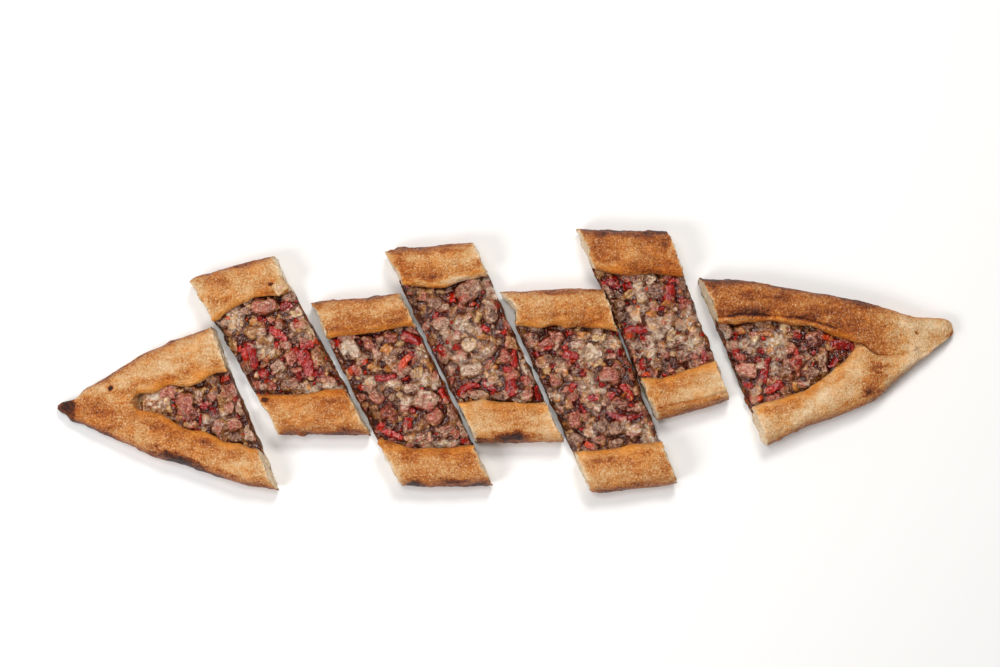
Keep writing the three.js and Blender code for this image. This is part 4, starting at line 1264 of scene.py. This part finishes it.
def make_core(heap, material):
    """The soft mass of juices and cheese that the pieces are bedded in, cut level at its ends."""
    k = heap.k
    start_at = heap.start[0] if k > 1 else 51
    end_at = heap.end[0] if k < 7 else 450
    columns, rows = 160, round((end_at - start_at) / 0.45)
    share = np.linspace(0, 1, rows + 1)[:, None]
    u = np.linspace(-1, 1, columns + 1)[None, :]
    tan = lerp(heap.start[1], heap.end[1], share)
    along = lerp(start_at, end_at, share) + 0 * u
    for _ in range(6):
        middle = (lip_far(along) + lip_near(along)) / 2
        half = np.maximum((lip_far(along) - lip_near(along)) / 2, 1)
        across = middle + u * (half + 1.9)
        along = lerp(start_at, end_at, share) - across * tan
    flat = np.stack([along, across, 0 * along], -1)
    base = lerp(BASE_THICKNESS + 0.3, heap_top(along, across) - 0.6, openness(along))
    lumps = 0.8 * noise(flat, 6, 80) + 0.6 * (granules(flat, 3.6, 81) - 0.5)
    lumps = lumps + 0.4 * noise(flat, 2, 82)
    top = np.maximum(base - 1.5 + lumps, heap.read(heap.bed, along, across) - 0.4 + lumps)
    top = np.minimum(top, heap.limit(along, across) + 0.5)
    edge = smoothstep(np.abs(u), 0.9, 1) * openness(along)
    top = lerp(top, np.minimum(top, 10.5), edge)
    upper = heap.slumped(np.stack([along, across, top], -1))
    layers = 9
    levels = np.linspace(0, 1, layers + 1)[None, None, 1:, None]
    floor = upper.copy()
    floor[..., 2] = BASE_THICKNESS + 0.3

    points = [upper.reshape(-1, 3)]
    count = (rows + 1) * (columns + 1)
    index = np.arange(count).reshape(rows + 1, columns + 1)
    quads = [grid_quads(index)[:, ::-1]]
    # The four sides go down from the edge of the top, in layers.
    border = np.concatenate([index[0, :-1], index[:-1, -1], index[-1, :0:-1], index[:0:-1, 0]])
    ring = len(border)
    edge_above, edge_below = upper.reshape(-1, 3)[border], floor.reshape(-1, 3)[border]
    side = lerp(edge_above[:, None], edge_below[:, None], levels[0])
    points.append(side.transpose(1, 0, 2).reshape(-1, 3))
    walls = np.concatenate([border[None], count + np.arange(ring * layers).reshape(layers, ring)])
    quads.append(grid_quads(np.concatenate([walls, walls[:, :1]], 1)))
    below = count + ring * layers
    points.append(floor.reshape(-1, 3).mean(0)[None])
    foot = walls[-1]
    quads.append(np.stack([np.full(ring, below), np.roll(foot, -1), foot, foot], -1))
    points, quads = np.concatenate(points), np.concatenate(quads)
    cut = np.concatenate([np.zeros(count), np.ones(len(points) - count)])
    wavy = 0.4 * noise(points, 3.5, 83) + 0.3 * noise(points, 1.6, 84)
    foot = 1 - points[:, 2] / rim_height(points[:, 0])
    on_start = np.abs(points[:, 0] + points[:, 1] * heap.start[1] - start_at) < 0.4
    on_end = np.abs(points[:, 0] + points[:, 1] * heap.end[1] - end_at) < 0.4
    points[:, 0] += SPREAD * foot * (heap.end[2] * on_end - heap.start[2] * on_start)
    points[:, 0] += wavy * cut + (0.9 + torn_line(points, 50)) * on_start * (k > 1)
    points[:, 0] -= (0.9 + torn_line(points, 60)) * on_end * (k < 7)
    soft = heap.softened(SHADE_PASSES)
    # Painted shade: the cut faces of the heap are painted darker the lower they lie, for the narrow
    # slits between slices.
    shaded = 1 - 0.8 * cut * smoothstep(soft.mean() - points[:, 2], -1, 4)
    piece = add_mesh(f"heap_core_{k}", laid(points, k), quads, material, {
        "raised": heap.raised(points, soft) * shaded, "red": heap.near(points, heap.reds, 2.6),
        "cream": heap.near(points, CHEESE[k], 3.8),
    })
    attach(piece, "root")
    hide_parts(f"filling_{k}")


def make_heap(k, materials):
    """One slice's filling, piled up from below: large and small meat, onion, cheese, peppers."""
    heap = Heap(k)
    meat, pepper, onion, cheese = Kind(), Kind(), Kind(), Kind()
    area = 0.4 if k in (1, 7) else 1  # of a heap, beside that of a whole slice
    pile_meat(heap, meat, heap.scatter(round(30 * area), 6, 11, 1.0), 0.5)
    pile_meat(heap, meat, MEAT[k], 0.45, warmth=0.7)
    pile_meat(heap, meat, heap.scatter(round(20 * area), 4, 7, 1.0), 0.45)
    bits = heap.scatter(round(8 * area), 3, 5, 0.8)
    pile_flakes(heap, onion, bits, 1.5, 0.45, 0.4, 0.55, rough=0.4)
    melt_cheese(heap, cheese, CHEESE[k])
    pile_flakes(heap, onion, ONION[k], 1.9, 0.6, 0.25, 0.66, rough=0.8)
    pile_meat(heap, meat, heap.scatter(round(14 * area), 2, 4, 0.7), 0.5)
    heap.bed = heap.softened(2)
    pile_flakes(heap, pepper, PEPPER[k], 1.7, 0.6, 0.3, 0.4, rough=0.6)
    pile_flakes(heap, pepper, heap.scatter(round(14 * area), 2, 3.6, 0.6), 1.4, 0.3, 0.5, 0.45)
    for strip in STRIPS.get(k, []):
        lay_strip(heap, *strip, materials["pepper"])
    make_core(heap, materials["core"])
    meat.make(f"meat_pieces_{k}", heap, materials["meat"], "meat_filling")
    pepper.make(f"pepper_pieces_{k}", heap, materials["pepper"], "pepper")
    onion.make(f"onion_pieces_{k}", heap, materials["onion"], "onion")
    cheese.make(f"cheese_{k}", heap, materials["cheese"], "meat_filling")


def make_flake(material):
    """The flake of onion on the second slice's far rim."""
    along, across, length, width, heading = ONION_FLAKE
    random = np.random.default_rng(7)
    shape, quads = faceted(ball_for(length), random, 0, 12)
    p = shape * np.array([length, width, 1.5]) / 2 * 1.04
    face = shape[:, 2]
    p[:, 0] += 0.14 * p[:, 1]
    p[:, 2] += 0.014 * p[:, 0] ** 2 - 0.02 * p[:, 1] ** 2 + 0.25 * noise(p, 4, 90)
    p += (0.1 * noise(p, 1.4, 91))[:, None] * shape
    p = turned(p, heading) + (along, across, rim_height(along) + 0.9)
    full = np.ones(len(p))
    piece = add_mesh("rim_flake", laid(p, 2), quads, material, {
        "tone": 0.6 * full, "hue": 0.2 * full, "face": face, "raised": full, "red": 0 * full,
        "cream": 0 * full,
    })
    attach(piece, "root")
    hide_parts("onion_flake")


# ------------------------------------------------------------------ materials


def colour(red, green, blue):
    """A shade given as it looks on a screen, from 0 to 255."""
    def lin(c):
        c /= 255
        return c / 12.92 if c <= 0.04045 else ((c + 0.055) / 1.055) ** 2.4
    return (lin(red), lin(green), lin(blue), 1)


class Tree:
    """Short ways to add shader nodes and join them up."""

    def __init__(self, tree):
        self.tree = tree

    def node(self, kind, inputs=None, **settings):
        made = self.tree.nodes.new(kind)
        for name, value in settings.items():
            setattr(made, name, value)
        for name, value in (inputs or {}).items():
            if isinstance(value, bpy.types.NodeSocket):
                self.tree.links.new(value, made.inputs[name])
            else:
                made.inputs[name].default_value = value
        return made

    def place(self):
        return self.node("ShaderNodeTexCoord").outputs["Object"]

    def attribute(self, name):
        return self.node("ShaderNodeAttribute", attribute_name=name).outputs["Fac"]

    def speckle(self, place, size, detail=2.0, roughness=0.5):
        """Noise from 0 to 1 whose grains are that many millimetres."""
        inputs = {"Vector": place, "Scale": 1000 / size, "Detail": detail, "Roughness": roughness}
        return self.node("ShaderNodeTexNoise", inputs).outputs["Fac"]

    def cells(self, place, size, output="Distance"):
        inputs = {"Vector": place, "Scale": 1000 / size}
        return self.node("ShaderNodeTexVoronoi", inputs).outputs[output]

    def grains(self, place, size):
        """A value from 0 to 1 that differs from grain to grain of ragged grains of that size."""
        inputs = {"Vector": place, "Scale": 1400 / size, "Detail": 2.0}
        bent = self.node("ShaderNodeTexNoise", inputs).outputs["Color"]
        terms = {0: bent, 1: (size * 0.0012,) * 3, 2: place}
        moved = self.node("ShaderNodeVectorMath", terms, operation="MULTIPLY_ADD")
        shade = self.cells(moved.outputs["Vector"], size, "Color")
        return self.node("ShaderNodeSeparateColor", {"Color": shade}).outputs["Red"]

    def squeezed(self, place, x, y, z):
        terms = {0: place, 1: (x, y, z)}
        return self.node("ShaderNodeVectorMath", terms, operation="MULTIPLY").outputs["Vector"]

    def sum(self, a, b, factor=1.0):
        """a plus factor times b."""
        terms = {0: b, 1: factor, 2: a}
        return self.node("ShaderNodeMath", terms, operation="MULTIPLY_ADD").outputs[0]

    def times(self, a, b):
        return self.node("ShaderNodeMath", {0: a, 1: b}, operation="MULTIPLY").outputs[0]

    def between(self, value, low, high, to_low=0.0, to_high=1.0):
        """A value mapped from one range to another and kept within it."""
        inputs = {
            "Value": value, "From Min": low, "From Max": high, "To Min": to_low, "To Max": to_high,
        }
        return self.node("ShaderNodeMapRange", inputs).outputs["Result"]

    def mixed(self, factor, a, b):
        made = self.node("ShaderNodeMix", data_type="RGBA")
        for name, kind, value in (("Factor", "VALUE", factor), ("A", "RGBA", a), ("B", "RGBA", b)):
            socket = [s for s in made.inputs if (s.name, s.type) == (name, kind)][0]
            if isinstance(value, bpy.types.NodeSocket):
                self.tree.links.new(value, socket)
            else:
                socket.default_value = value
        return [s for s in made.outputs if s.type == "RGBA"][0]

    def deepened(self, shade, raised):
        """Painted shade: a colour turned dark and red-brown where it lies deep down."""
        deep = self.squeezed(shade, 0.19, 0.06, 0.022)
        return self.mixed(self.between(raised, 0.14, 0.56, 1, 0), shade, deep)

    def ramp(self, value, stops):
        made = self.node("ShaderNodeValToRGB", {"Fac": value})
        elements = made.color_ramp.elements
        while len(elements) < len(stops):
            elements.new(0.5)
        for element, (at, shade) in zip(elements, stops):
            element.position = at
            element.color = colour(*shade)
        return made.outputs["Color"]


def effect(name, inputs, outputs, build):
    """A shared effect: a node group with named inputs and outputs."""
    kinds = {"value": "NodeSocketFloat", "vector": "NodeSocketVector", "colour": "NodeSocketColor"}
    group = bpy.data.node_groups.new(name, "ShaderNodeTree")
    for label, kind in inputs:
        group.interface.new_socket(name=label, in_out="INPUT", socket_type=kinds[kind])
    for label, kind in outputs:
        group.interface.new_socket(name=label, in_out="OUTPUT", socket_type=kinds[kind])
    source, sink = group.nodes.new("NodeGroupInput"), group.nodes.new("NodeGroupOutput")
    results = build(Tree(group), source.outputs)
    for label, socket in results.items():
        group.links.new(socket, sink.inputs[label])
    return group


def finish_material(name, group, attributes, constants, bump):
    """A material that takes its colour, roughness and relief from a shared effect."""
    material = bpy.data.materials.new(name)
    material.use_nodes = True
    tree = material.node_tree
    tree.nodes.clear()
    t = Tree(tree)
    used = t.node("ShaderNodeGroup", node_tree=group)
    tree.links.new(t.place(), used.inputs["Place"])
    for label, attribute in attributes.items():
        tree.links.new(t.attribute(attribute), used.inputs[label])
    relief = t.node("ShaderNodeBump", {"Height": used.outputs["Relief"], "Distance": bump})
    shader = t.node("ShaderNodeBsdfPrincipled", {
        "Base Color": used.outputs["Colour"],
        "Roughness": used.outputs["Roughness"],
        "Normal": relief.outputs["Normal"],
    })
    for label, value in constants.items():
        shader.inputs[label].default_value = value
    out = t.node("ShaderNodeOutputMaterial")
    tree.links.new(shader.outputs["BSDF"], out.inputs["Surface"])
    return material


LOOK = [("Colour", "colour"), ("Roughness", "value"), ("Relief", "value")]


def crust_look(t, given):
    place = given["Place"]
    grain = t.speckle(place, 1.1, 2, 0.6)
    coarse = t.speckle(place, 2.2, 2, 0.6)
    mottle = t.speckle(place, 6.0, 3, 0.6)
    streak = t.speckle(t.squeezed(place, 0.3, 1, 1), 2.0, 2)
    bake = t.sum(given["Bake"], t.between(grain, 0.3, 0.7, -1, 1), 0.085)
    bake = t.sum(bake, t.between(coarse, 0.3, 0.7, -1, 1), 0.06)
    bake = t.sum(bake, t.between(mottle, 0.3, 0.7, -1, 1), 0.08)
    bake = t.sum(bake, t.between(streak, 0.3, 0.7, -1, 1), 0.04)
    baked_with_painted_light = t.ramp(bake, [
        (0.0, (238, 206, 168)), (0.18, (220, 182, 136)), (0.36, (204, 148, 90)),
        (0.52, (182, 108, 44)), (0.68, (146, 71, 21)), (0.84, (90, 40, 16)), (1.0, (46, 27, 24)),
    ])
    # Pale specks: a real dusting on the crust, and where it is browner also painted glints.
    dust_and_glint_specks = t.between(t.speckle(place, 1.0, 2), 0.54, 0.66)
    flour_and_glints = t.times(dust_and_glint_specks, t.between(bake, 0.9, 0.45, 0, 0.5))
    floury_and_glinting = t.mixed(flour_and_glints, baked_with_painted_light, colour(244, 210, 166))
    glazed = t.sum(t.between(t.speckle(place, 10, 3, 0.6), 0.5, 0.62, 0, 0.3), given["Lip"], 0.95)
    golden = t.mixed(glazed, floury_and_glinting, t.ramp(bake, [
        (0.2, (236, 162, 78)), (0.5, (224, 138, 52)), (0.72, (184, 92, 28)), (0.95, (100, 46, 18)),
    ]))
    spots = t.cells(place, 3.2)
    crumb = t.ramp(t.speckle(place, 2.2, 4, 0.6), [
        (0.3, (226, 190, 148)), (0.5, (242, 216, 178)), (0.7, (250, 234, 208)),
    ])
    wet_and_shaded_dough = t.ramp(bake, [(0.1, (168, 128, 80)), (0.45, (108, 62, 32)), (0.8, (52, 22, 12))])
    dough = t.mixed(given["Inside"], crumb, wet_and_shaded_dough)
    fresh = t.mixed(given["Crumb"], golden, dough)
    wet = t.between(given["Inside"], 0, 1, 0.0, -0.2)
    rough = t.sum(t.between(coarse, 0.3, 0.7, 0.36, 0.58), wet)
    relief = t.sum(t.sum(grain, coarse, 0.8), t.between(spots, 0, 0.5), 0.15)
    return {"Colour": fresh, "Roughness": rough, "Relief": relief}


def juiced(t, given, shade, red_share, cream_share):
    """The colour of a piece of filling with red juices by the peppers, a film of cheese by the
    cheese, and painted shade that makes it darker the deeper it lies."""
    place = given["Place"]
    film = t.between(t.speckle(place, 2.4, 2), 0.38, 0.56)
    red = t.times(t.times(given["Red"], film), red_share)
    shade = t.mixed(red, shade, t.ramp(t.speckle(place, 1.4, 2), [
        (0.3, (126, 20, 12)), (0.7, (204, 72, 46)),
    ]))
    streaks = t.between(t.speckle(t.squeezed(place, 0.5, 1, 1), 3.0, 2, 0.55), 0.4, 0.58)
    cream = t.times(t.times(given["Cream"], streaks), cream_share)
    shade = t.mixed(cream, shade, t.ramp(t.speckle(place, 2.0, 2), [
        (0.3, (190, 158, 126)), (0.7, (230, 214, 194)),
    ]))
    return t.deepened(shade, given["Raised"])


def wetness(t, place):
    """The roughness of wet, uneven filling: glinting in places, dull in others."""
    return t.between(t.speckle(place, 2.2, 2), 0.35, 0.65, 0.07, 0.3)


def wet_relief(t, place):
    return t.sum(t.speckle(place, 2.4, 1), t.speckle(place, 1.0, 1), 0.4)


def meat_look(t, given):
    place = given["Place"]
    fibre = t.speckle(t.squeezed(place, 0.4, 1, 1), 0.9, 3, 0.6)
    mottle = t.speckle(place, 2.4, 3, 0.65)
    grains = t.grains(place, 2.4)
    value = t.sum(t.times(given["Tone"], 0.3), t.between(mottle, 0.28, 0.72), 0.48)
    value = t.sum(value, grains, 0.24)
    value = t.sum(value, t.between(fibre, 0.3, 0.7, -1, 1), 0.16)
    brown = t.ramp(value, [
        (0.0, (54, 24, 14)), (0.25, (104, 61, 41)), (0.48, (152, 107, 81)), (0.7, (190, 150, 121)),
        (1.0, (232, 212, 194)),
    ])
    pink = t.ramp(value, [
        (0.0, (80, 18, 10)), (0.3, (138, 56, 38)), (0.55, (178, 98, 74)), (0.8, (208, 150, 124)),
        (1.0, (234, 202, 180)),
    ])
    tan = t.ramp(value, [
        (0.0, (76, 34, 12)), (0.4, (142, 86, 42)), (0.7, (188, 138, 86)), (1.0, (228, 196, 150)),
    ])
    patch = t.sum(given["Hue"], t.between(t.speckle(place, 3.5, 2), 0.3, 0.7, -1, 1), 0.2)
    shade = t.mixed(t.between(patch, 0.34, 0.46), brown, pink)
    shade = t.mixed(t.between(patch, 0.68, 0.76), shade, tan)
    shade = juiced(t, given, shade, 0.7, 0.85)
    relief = t.sum(wet_relief(t, place), fibre, 0.25)
    return {"Colour": shade, "Roughness": wetness(t, place), "Relief": relief}


def pepper_look(t, given):
    place = given["Place"]
    cloud = t.speckle(place, 2.0, 3, 0.6)
    value = t.sum(t.times(given["Tone"], 0.35), t.between(cloud, 0.3, 0.7), 0.65)
    skin = t.ramp(value, [
        (0.0, (70, 5, 2)), (0.35, (124, 9, 3)), (0.7, (172, 22, 6)), (1.0, (208, 60, 20)),
    ])
    flesh = t.ramp(value, [(0.0, (108, 18, 5)), (0.5, (172, 50, 18)), (1.0, (208, 104, 52))])
    shade = t.mixed(t.between(given["Face"], 0.2, -0.2), skin, flesh)
    orange = t.mixed(t.between(given["Hue"], 0.86, 0.94, 0, 0.75), shade, colour(206, 70, 20))
    stuck = t.between(t.speckle(place, 3, 3, 0.6), 0.6, 0.68, 0, 0.6)
    filmed = t.mixed(stuck, orange, t.ramp(t.grains(place, 1.5), [
        (0.2, (132, 62, 44)), (0.55, (190, 118, 92)), (0.9, (232, 198, 174)),
    ]))
    dark = t.deepened(filmed, given["Raised"])
    rough = t.between(cloud, 0.3, 0.7, 0.08, 0.24)
    return {"Colour": dark, "Roughness": rough, "Relief": t.speckle(place, 1.4, 2)}


def onion_look(t, given):
    place = given["Place"]
    vein = t.speckle(t.squeezed(place, 1, 0.3, 1), 1.1, 2)
    value = t.sum(t.times(given["Tone"], 0.45), t.between(t.speckle(place, 2.0, 3), 0.3, 0.7), 0.5)
    pale = t.ramp(value, [
        (0.0, (138, 90, 44)), (0.35, (180, 134, 78)), (0.7, (208, 172, 118)),
        (1.0, (232, 208, 168)),
    ])
    amber = t.ramp(value, [(0.0, (136, 68, 14)), (0.5, (192, 118, 40)), (1.0, (222, 168, 90))])
    shade = t.mixed(t.between(given["Hue"], 0.38, 0.46), pale, amber)
    shade = t.mixed(t.between(vein, 0.45, 0.7, 0, 0.4), shade, colour(150, 94, 44))
    stuck = t.between(t.speckle(place, 2.8, 3, 0.6), 0.53, 0.62, 0, 0.75)
    shade = t.mixed(stuck, shade, t.ramp(t.grains(place, 1.5), [
        (0.2, (132, 70, 48)), (0.55, (182, 124, 96)), (0.9, (228, 200, 172)),
    ]))
    shade = juiced(t, given, shade, 0.6, 0.6)
    rough = t.between(vein, 0.3, 0.7, 0.14, 0.36)
    return {"Colour": shade, "Roughness": rough, "Relief": t.sum(vein, t.speckle(place, 2, 2), 0.6)}


def cheese_look(t, given):
    place = given["Place"]
    cloud = t.speckle(place, 3.0, 3, 0.6)
    value = t.sum(t.times(given["Tone"], 0.25), t.between(cloud, 0.3, 0.7), 0.6)
    value = t.sum(value, t.grains(place, 2.2), 0.08)
    shade = t.ramp(value, [
        (0.0, (148, 106, 76)), (0.28, (188, 152, 120)), (0.55, (216, 192, 164)),
        (0.9, (240, 228, 210)),
    ])
    fat = t.between(t.speckle(place, 5, 3), 0.45, 0.55, 0, 0.75)
    shade = t.mixed(fat, shade, t.ramp(t.grains(place, 2), [
        (0.2, (160, 94, 38)), (0.8, (210, 150, 78)),
    ]))
    red = t.times(given["Red"], t.between(t.speckle(place, 2, 2), 0.5, 0.65, 0, 0.6))
    shade = t.mixed(red, shade, colour(192, 72, 50))
    shade = t.deepened(shade, given["Raised"])
    return {"Colour": shade, "Roughness": wetness(t, place), "Relief": wet_relief(t, place)}


def core_look(t, given):
    place = given["Place"]
    patch = t.speckle(place, 4.5, 3, 0.6)
    small = t.speckle(place, 1.6, 3, 0.65)
    value = t.sum(t.times(t.between(patch, 0.3, 0.7), 0.42), t.between(small, 0.3, 0.7), 0.27)
    value = t.sum(value, t.grains(place, 1.9), 0.38)
    juices = t.ramp(value, [
        (0.1, (70, 25, 11)), (0.32, (124, 60, 30)), (0.52, (168, 105, 51)), (0.74, (202, 148, 80)),
        (0.95, (230, 200, 150)),
    ])
    shade = juiced(t, given, juices, 0.95, 0.95)
    return {"Colour": shade, "Roughness": wetness(t, place), "Relief": wet_relief(t, place)}


BEDDED_INPUTS = {"Raised": "raised", "Red": "red", "Cream": "cream"}
PIECE_INPUTS = {"Tone": "tone", "Hue": "hue", "Face": "face", **BEDDED_INPUTS}
CRUST_INPUTS = {"Bake": "bake", "Lip": "lip", "Crumb": "crumb", "Inside": "inside"}
# Each material: its name, its effect, the inputs that come from the mesh, how much light goes
# into it and how far in metres, how strongly it reflects, and the depth of its relief.
MATERIALS = {
    "crust": (
        "crust", "Baked crust and crumb", crust_look, CRUST_INPUTS, 0.08, 0.002, 0.2, 0.001,
    ),
    "meat": ("meat", "Browned meat", meat_look, PIECE_INPUTS, 0.05, 0.001, 0.85, 0.002),
    "pepper": ("red pepper", "Red pepper", pepper_look, PIECE_INPUTS, 0.12, 0.0012, 0.55, 0.0008),
    "onion": ("onion", "Soft onion", onion_look, PIECE_INPUTS, 0.3, 0.0015, 0.6, 0.0005),
    "cheese": (
        "melted cheese", "Melted cheese", cheese_look, PIECE_INPUTS, 0.25, 0.002, 0.7, 0.0016,
    ),
    "core": (
        "heap of filling", "Juices and crumbs of meat", core_look, BEDDED_INPUTS,
        0.05, 0.001, 0.85, 0.002,
    ),
}


def make_materials():
    made = {}
    for key, row in MATERIALS.items():
        name, label, look, attributes, glow, glow_depth, shine, bump = row
        inputs = [("Place", "vector")] + [(socket, "value") for socket in attributes]
        made[key] = finish_material(name, effect(label, inputs, LOOK, look), attributes, {
            "Subsurface Weight": glow, "Subsurface Scale": glow_depth, "Specular IOR Level": shine,
        }, bump)
    return made


# ------------------------------------------------------------------ floor, light and camera


def plain_material(name, shade, roughness):
    material = bpy.data.materials.new(name)
    material.use_nodes = True
    shader = material.node_tree.nodes["Principled BSDF"]
    shader.inputs["Base Color"].default_value = colour(*shade)
    shader.inputs["Roughness"].default_value = roughness
    return material


FLOOR_HALF = 6000.0
# Each lamp: its name, place and size in metres, power and colour.
LAMPS = [
    ("key", (0.15, 0.7, 1.3), 0.35, 10, (1.0, 0.98, 0.95)),
    ("fill", (-0.75, -0.5, 1.0), 0.5, 8, (0.98, 0.98, 1.0)),
    ("top", (-0.2, 0.2, 1.5), 0.4, 7, (0.97, 0.98, 1.0)),
]
DAYLIGHT = 0.22


def make_stage():
    h = FLOOR_HALF
    corners = np.array([(-h, -h, 0), (h, -h, 0), (h, h, 0), (-h, h, 0)])
    pale = plain_material("pale floor", (246, 245, 243), 0.8)
    floor = add_mesh("floor", corners, np.array([[0, 1, 2, 3]]), pale, {})
    for name, place, size, power, shade in LAMPS:
        lamp = bpy.data.lights.new(name, "AREA")
        lamp.size, lamp.energy, lamp.color = size, power, shade
        holder = bpy.data.objects.new(name, lamp)
        holder.location = place
        holder.rotation_mode = "QUATERNION"
        holder.rotation_quaternion = (Vector(place) - Vector((0, 0, 0.01))).to_track_quat("Z", "Y")
        bpy.context.scene.collection.objects.link(holder)
    world = bpy.data.worlds.new("soft daylight")
    world.use_nodes = True
    world.node_tree.nodes["Background"].inputs["Color"].default_value = (1, 1, 1, 1)
    world.node_tree.nodes["Background"].inputs["Strength"].default_value = DAYLIGHT
    bpy.context.scene.world = world
    bpy.context.scene.view_settings.view_transform = "Standard"


CAMERA_DISTANCE = 1.4
CAMERA_HEIGHT = 86  # degrees above the floor
LOOK_AT = (-0.00372, 0.01528, 0.020)


def make_camera():
    look_at = Vector(LOOK_AT)
    tilt = math.radians(CAMERA_HEIGHT)
    back = Vector((0, -math.cos(tilt), math.sin(tilt)))
    lens = bpy.data.cameras.new("camera")
    lens.lens, lens.sensor_width = 45 * CAMERA_DISTANCE / 0.75, 36
    lens.clip_start, lens.clip_end = 0.05, 20
    camera = bpy.data.objects.new("camera", lens)
    camera.location = look_at + back * CAMERA_DISTANCE
    camera.rotation_mode = "QUATERNION"
    camera.rotation_quaternion = back.to_track_quat("Z", "Y")
    bpy.context.scene.collection.objects.link(camera)
    bpy.context.scene.camera = camera


materials = make_materials()
for k in SLICES:
    make_bread(k, materials["crust"])
    make_heap(k, materials)
make_flake(materials["onion"])
make_stage()
make_camera()
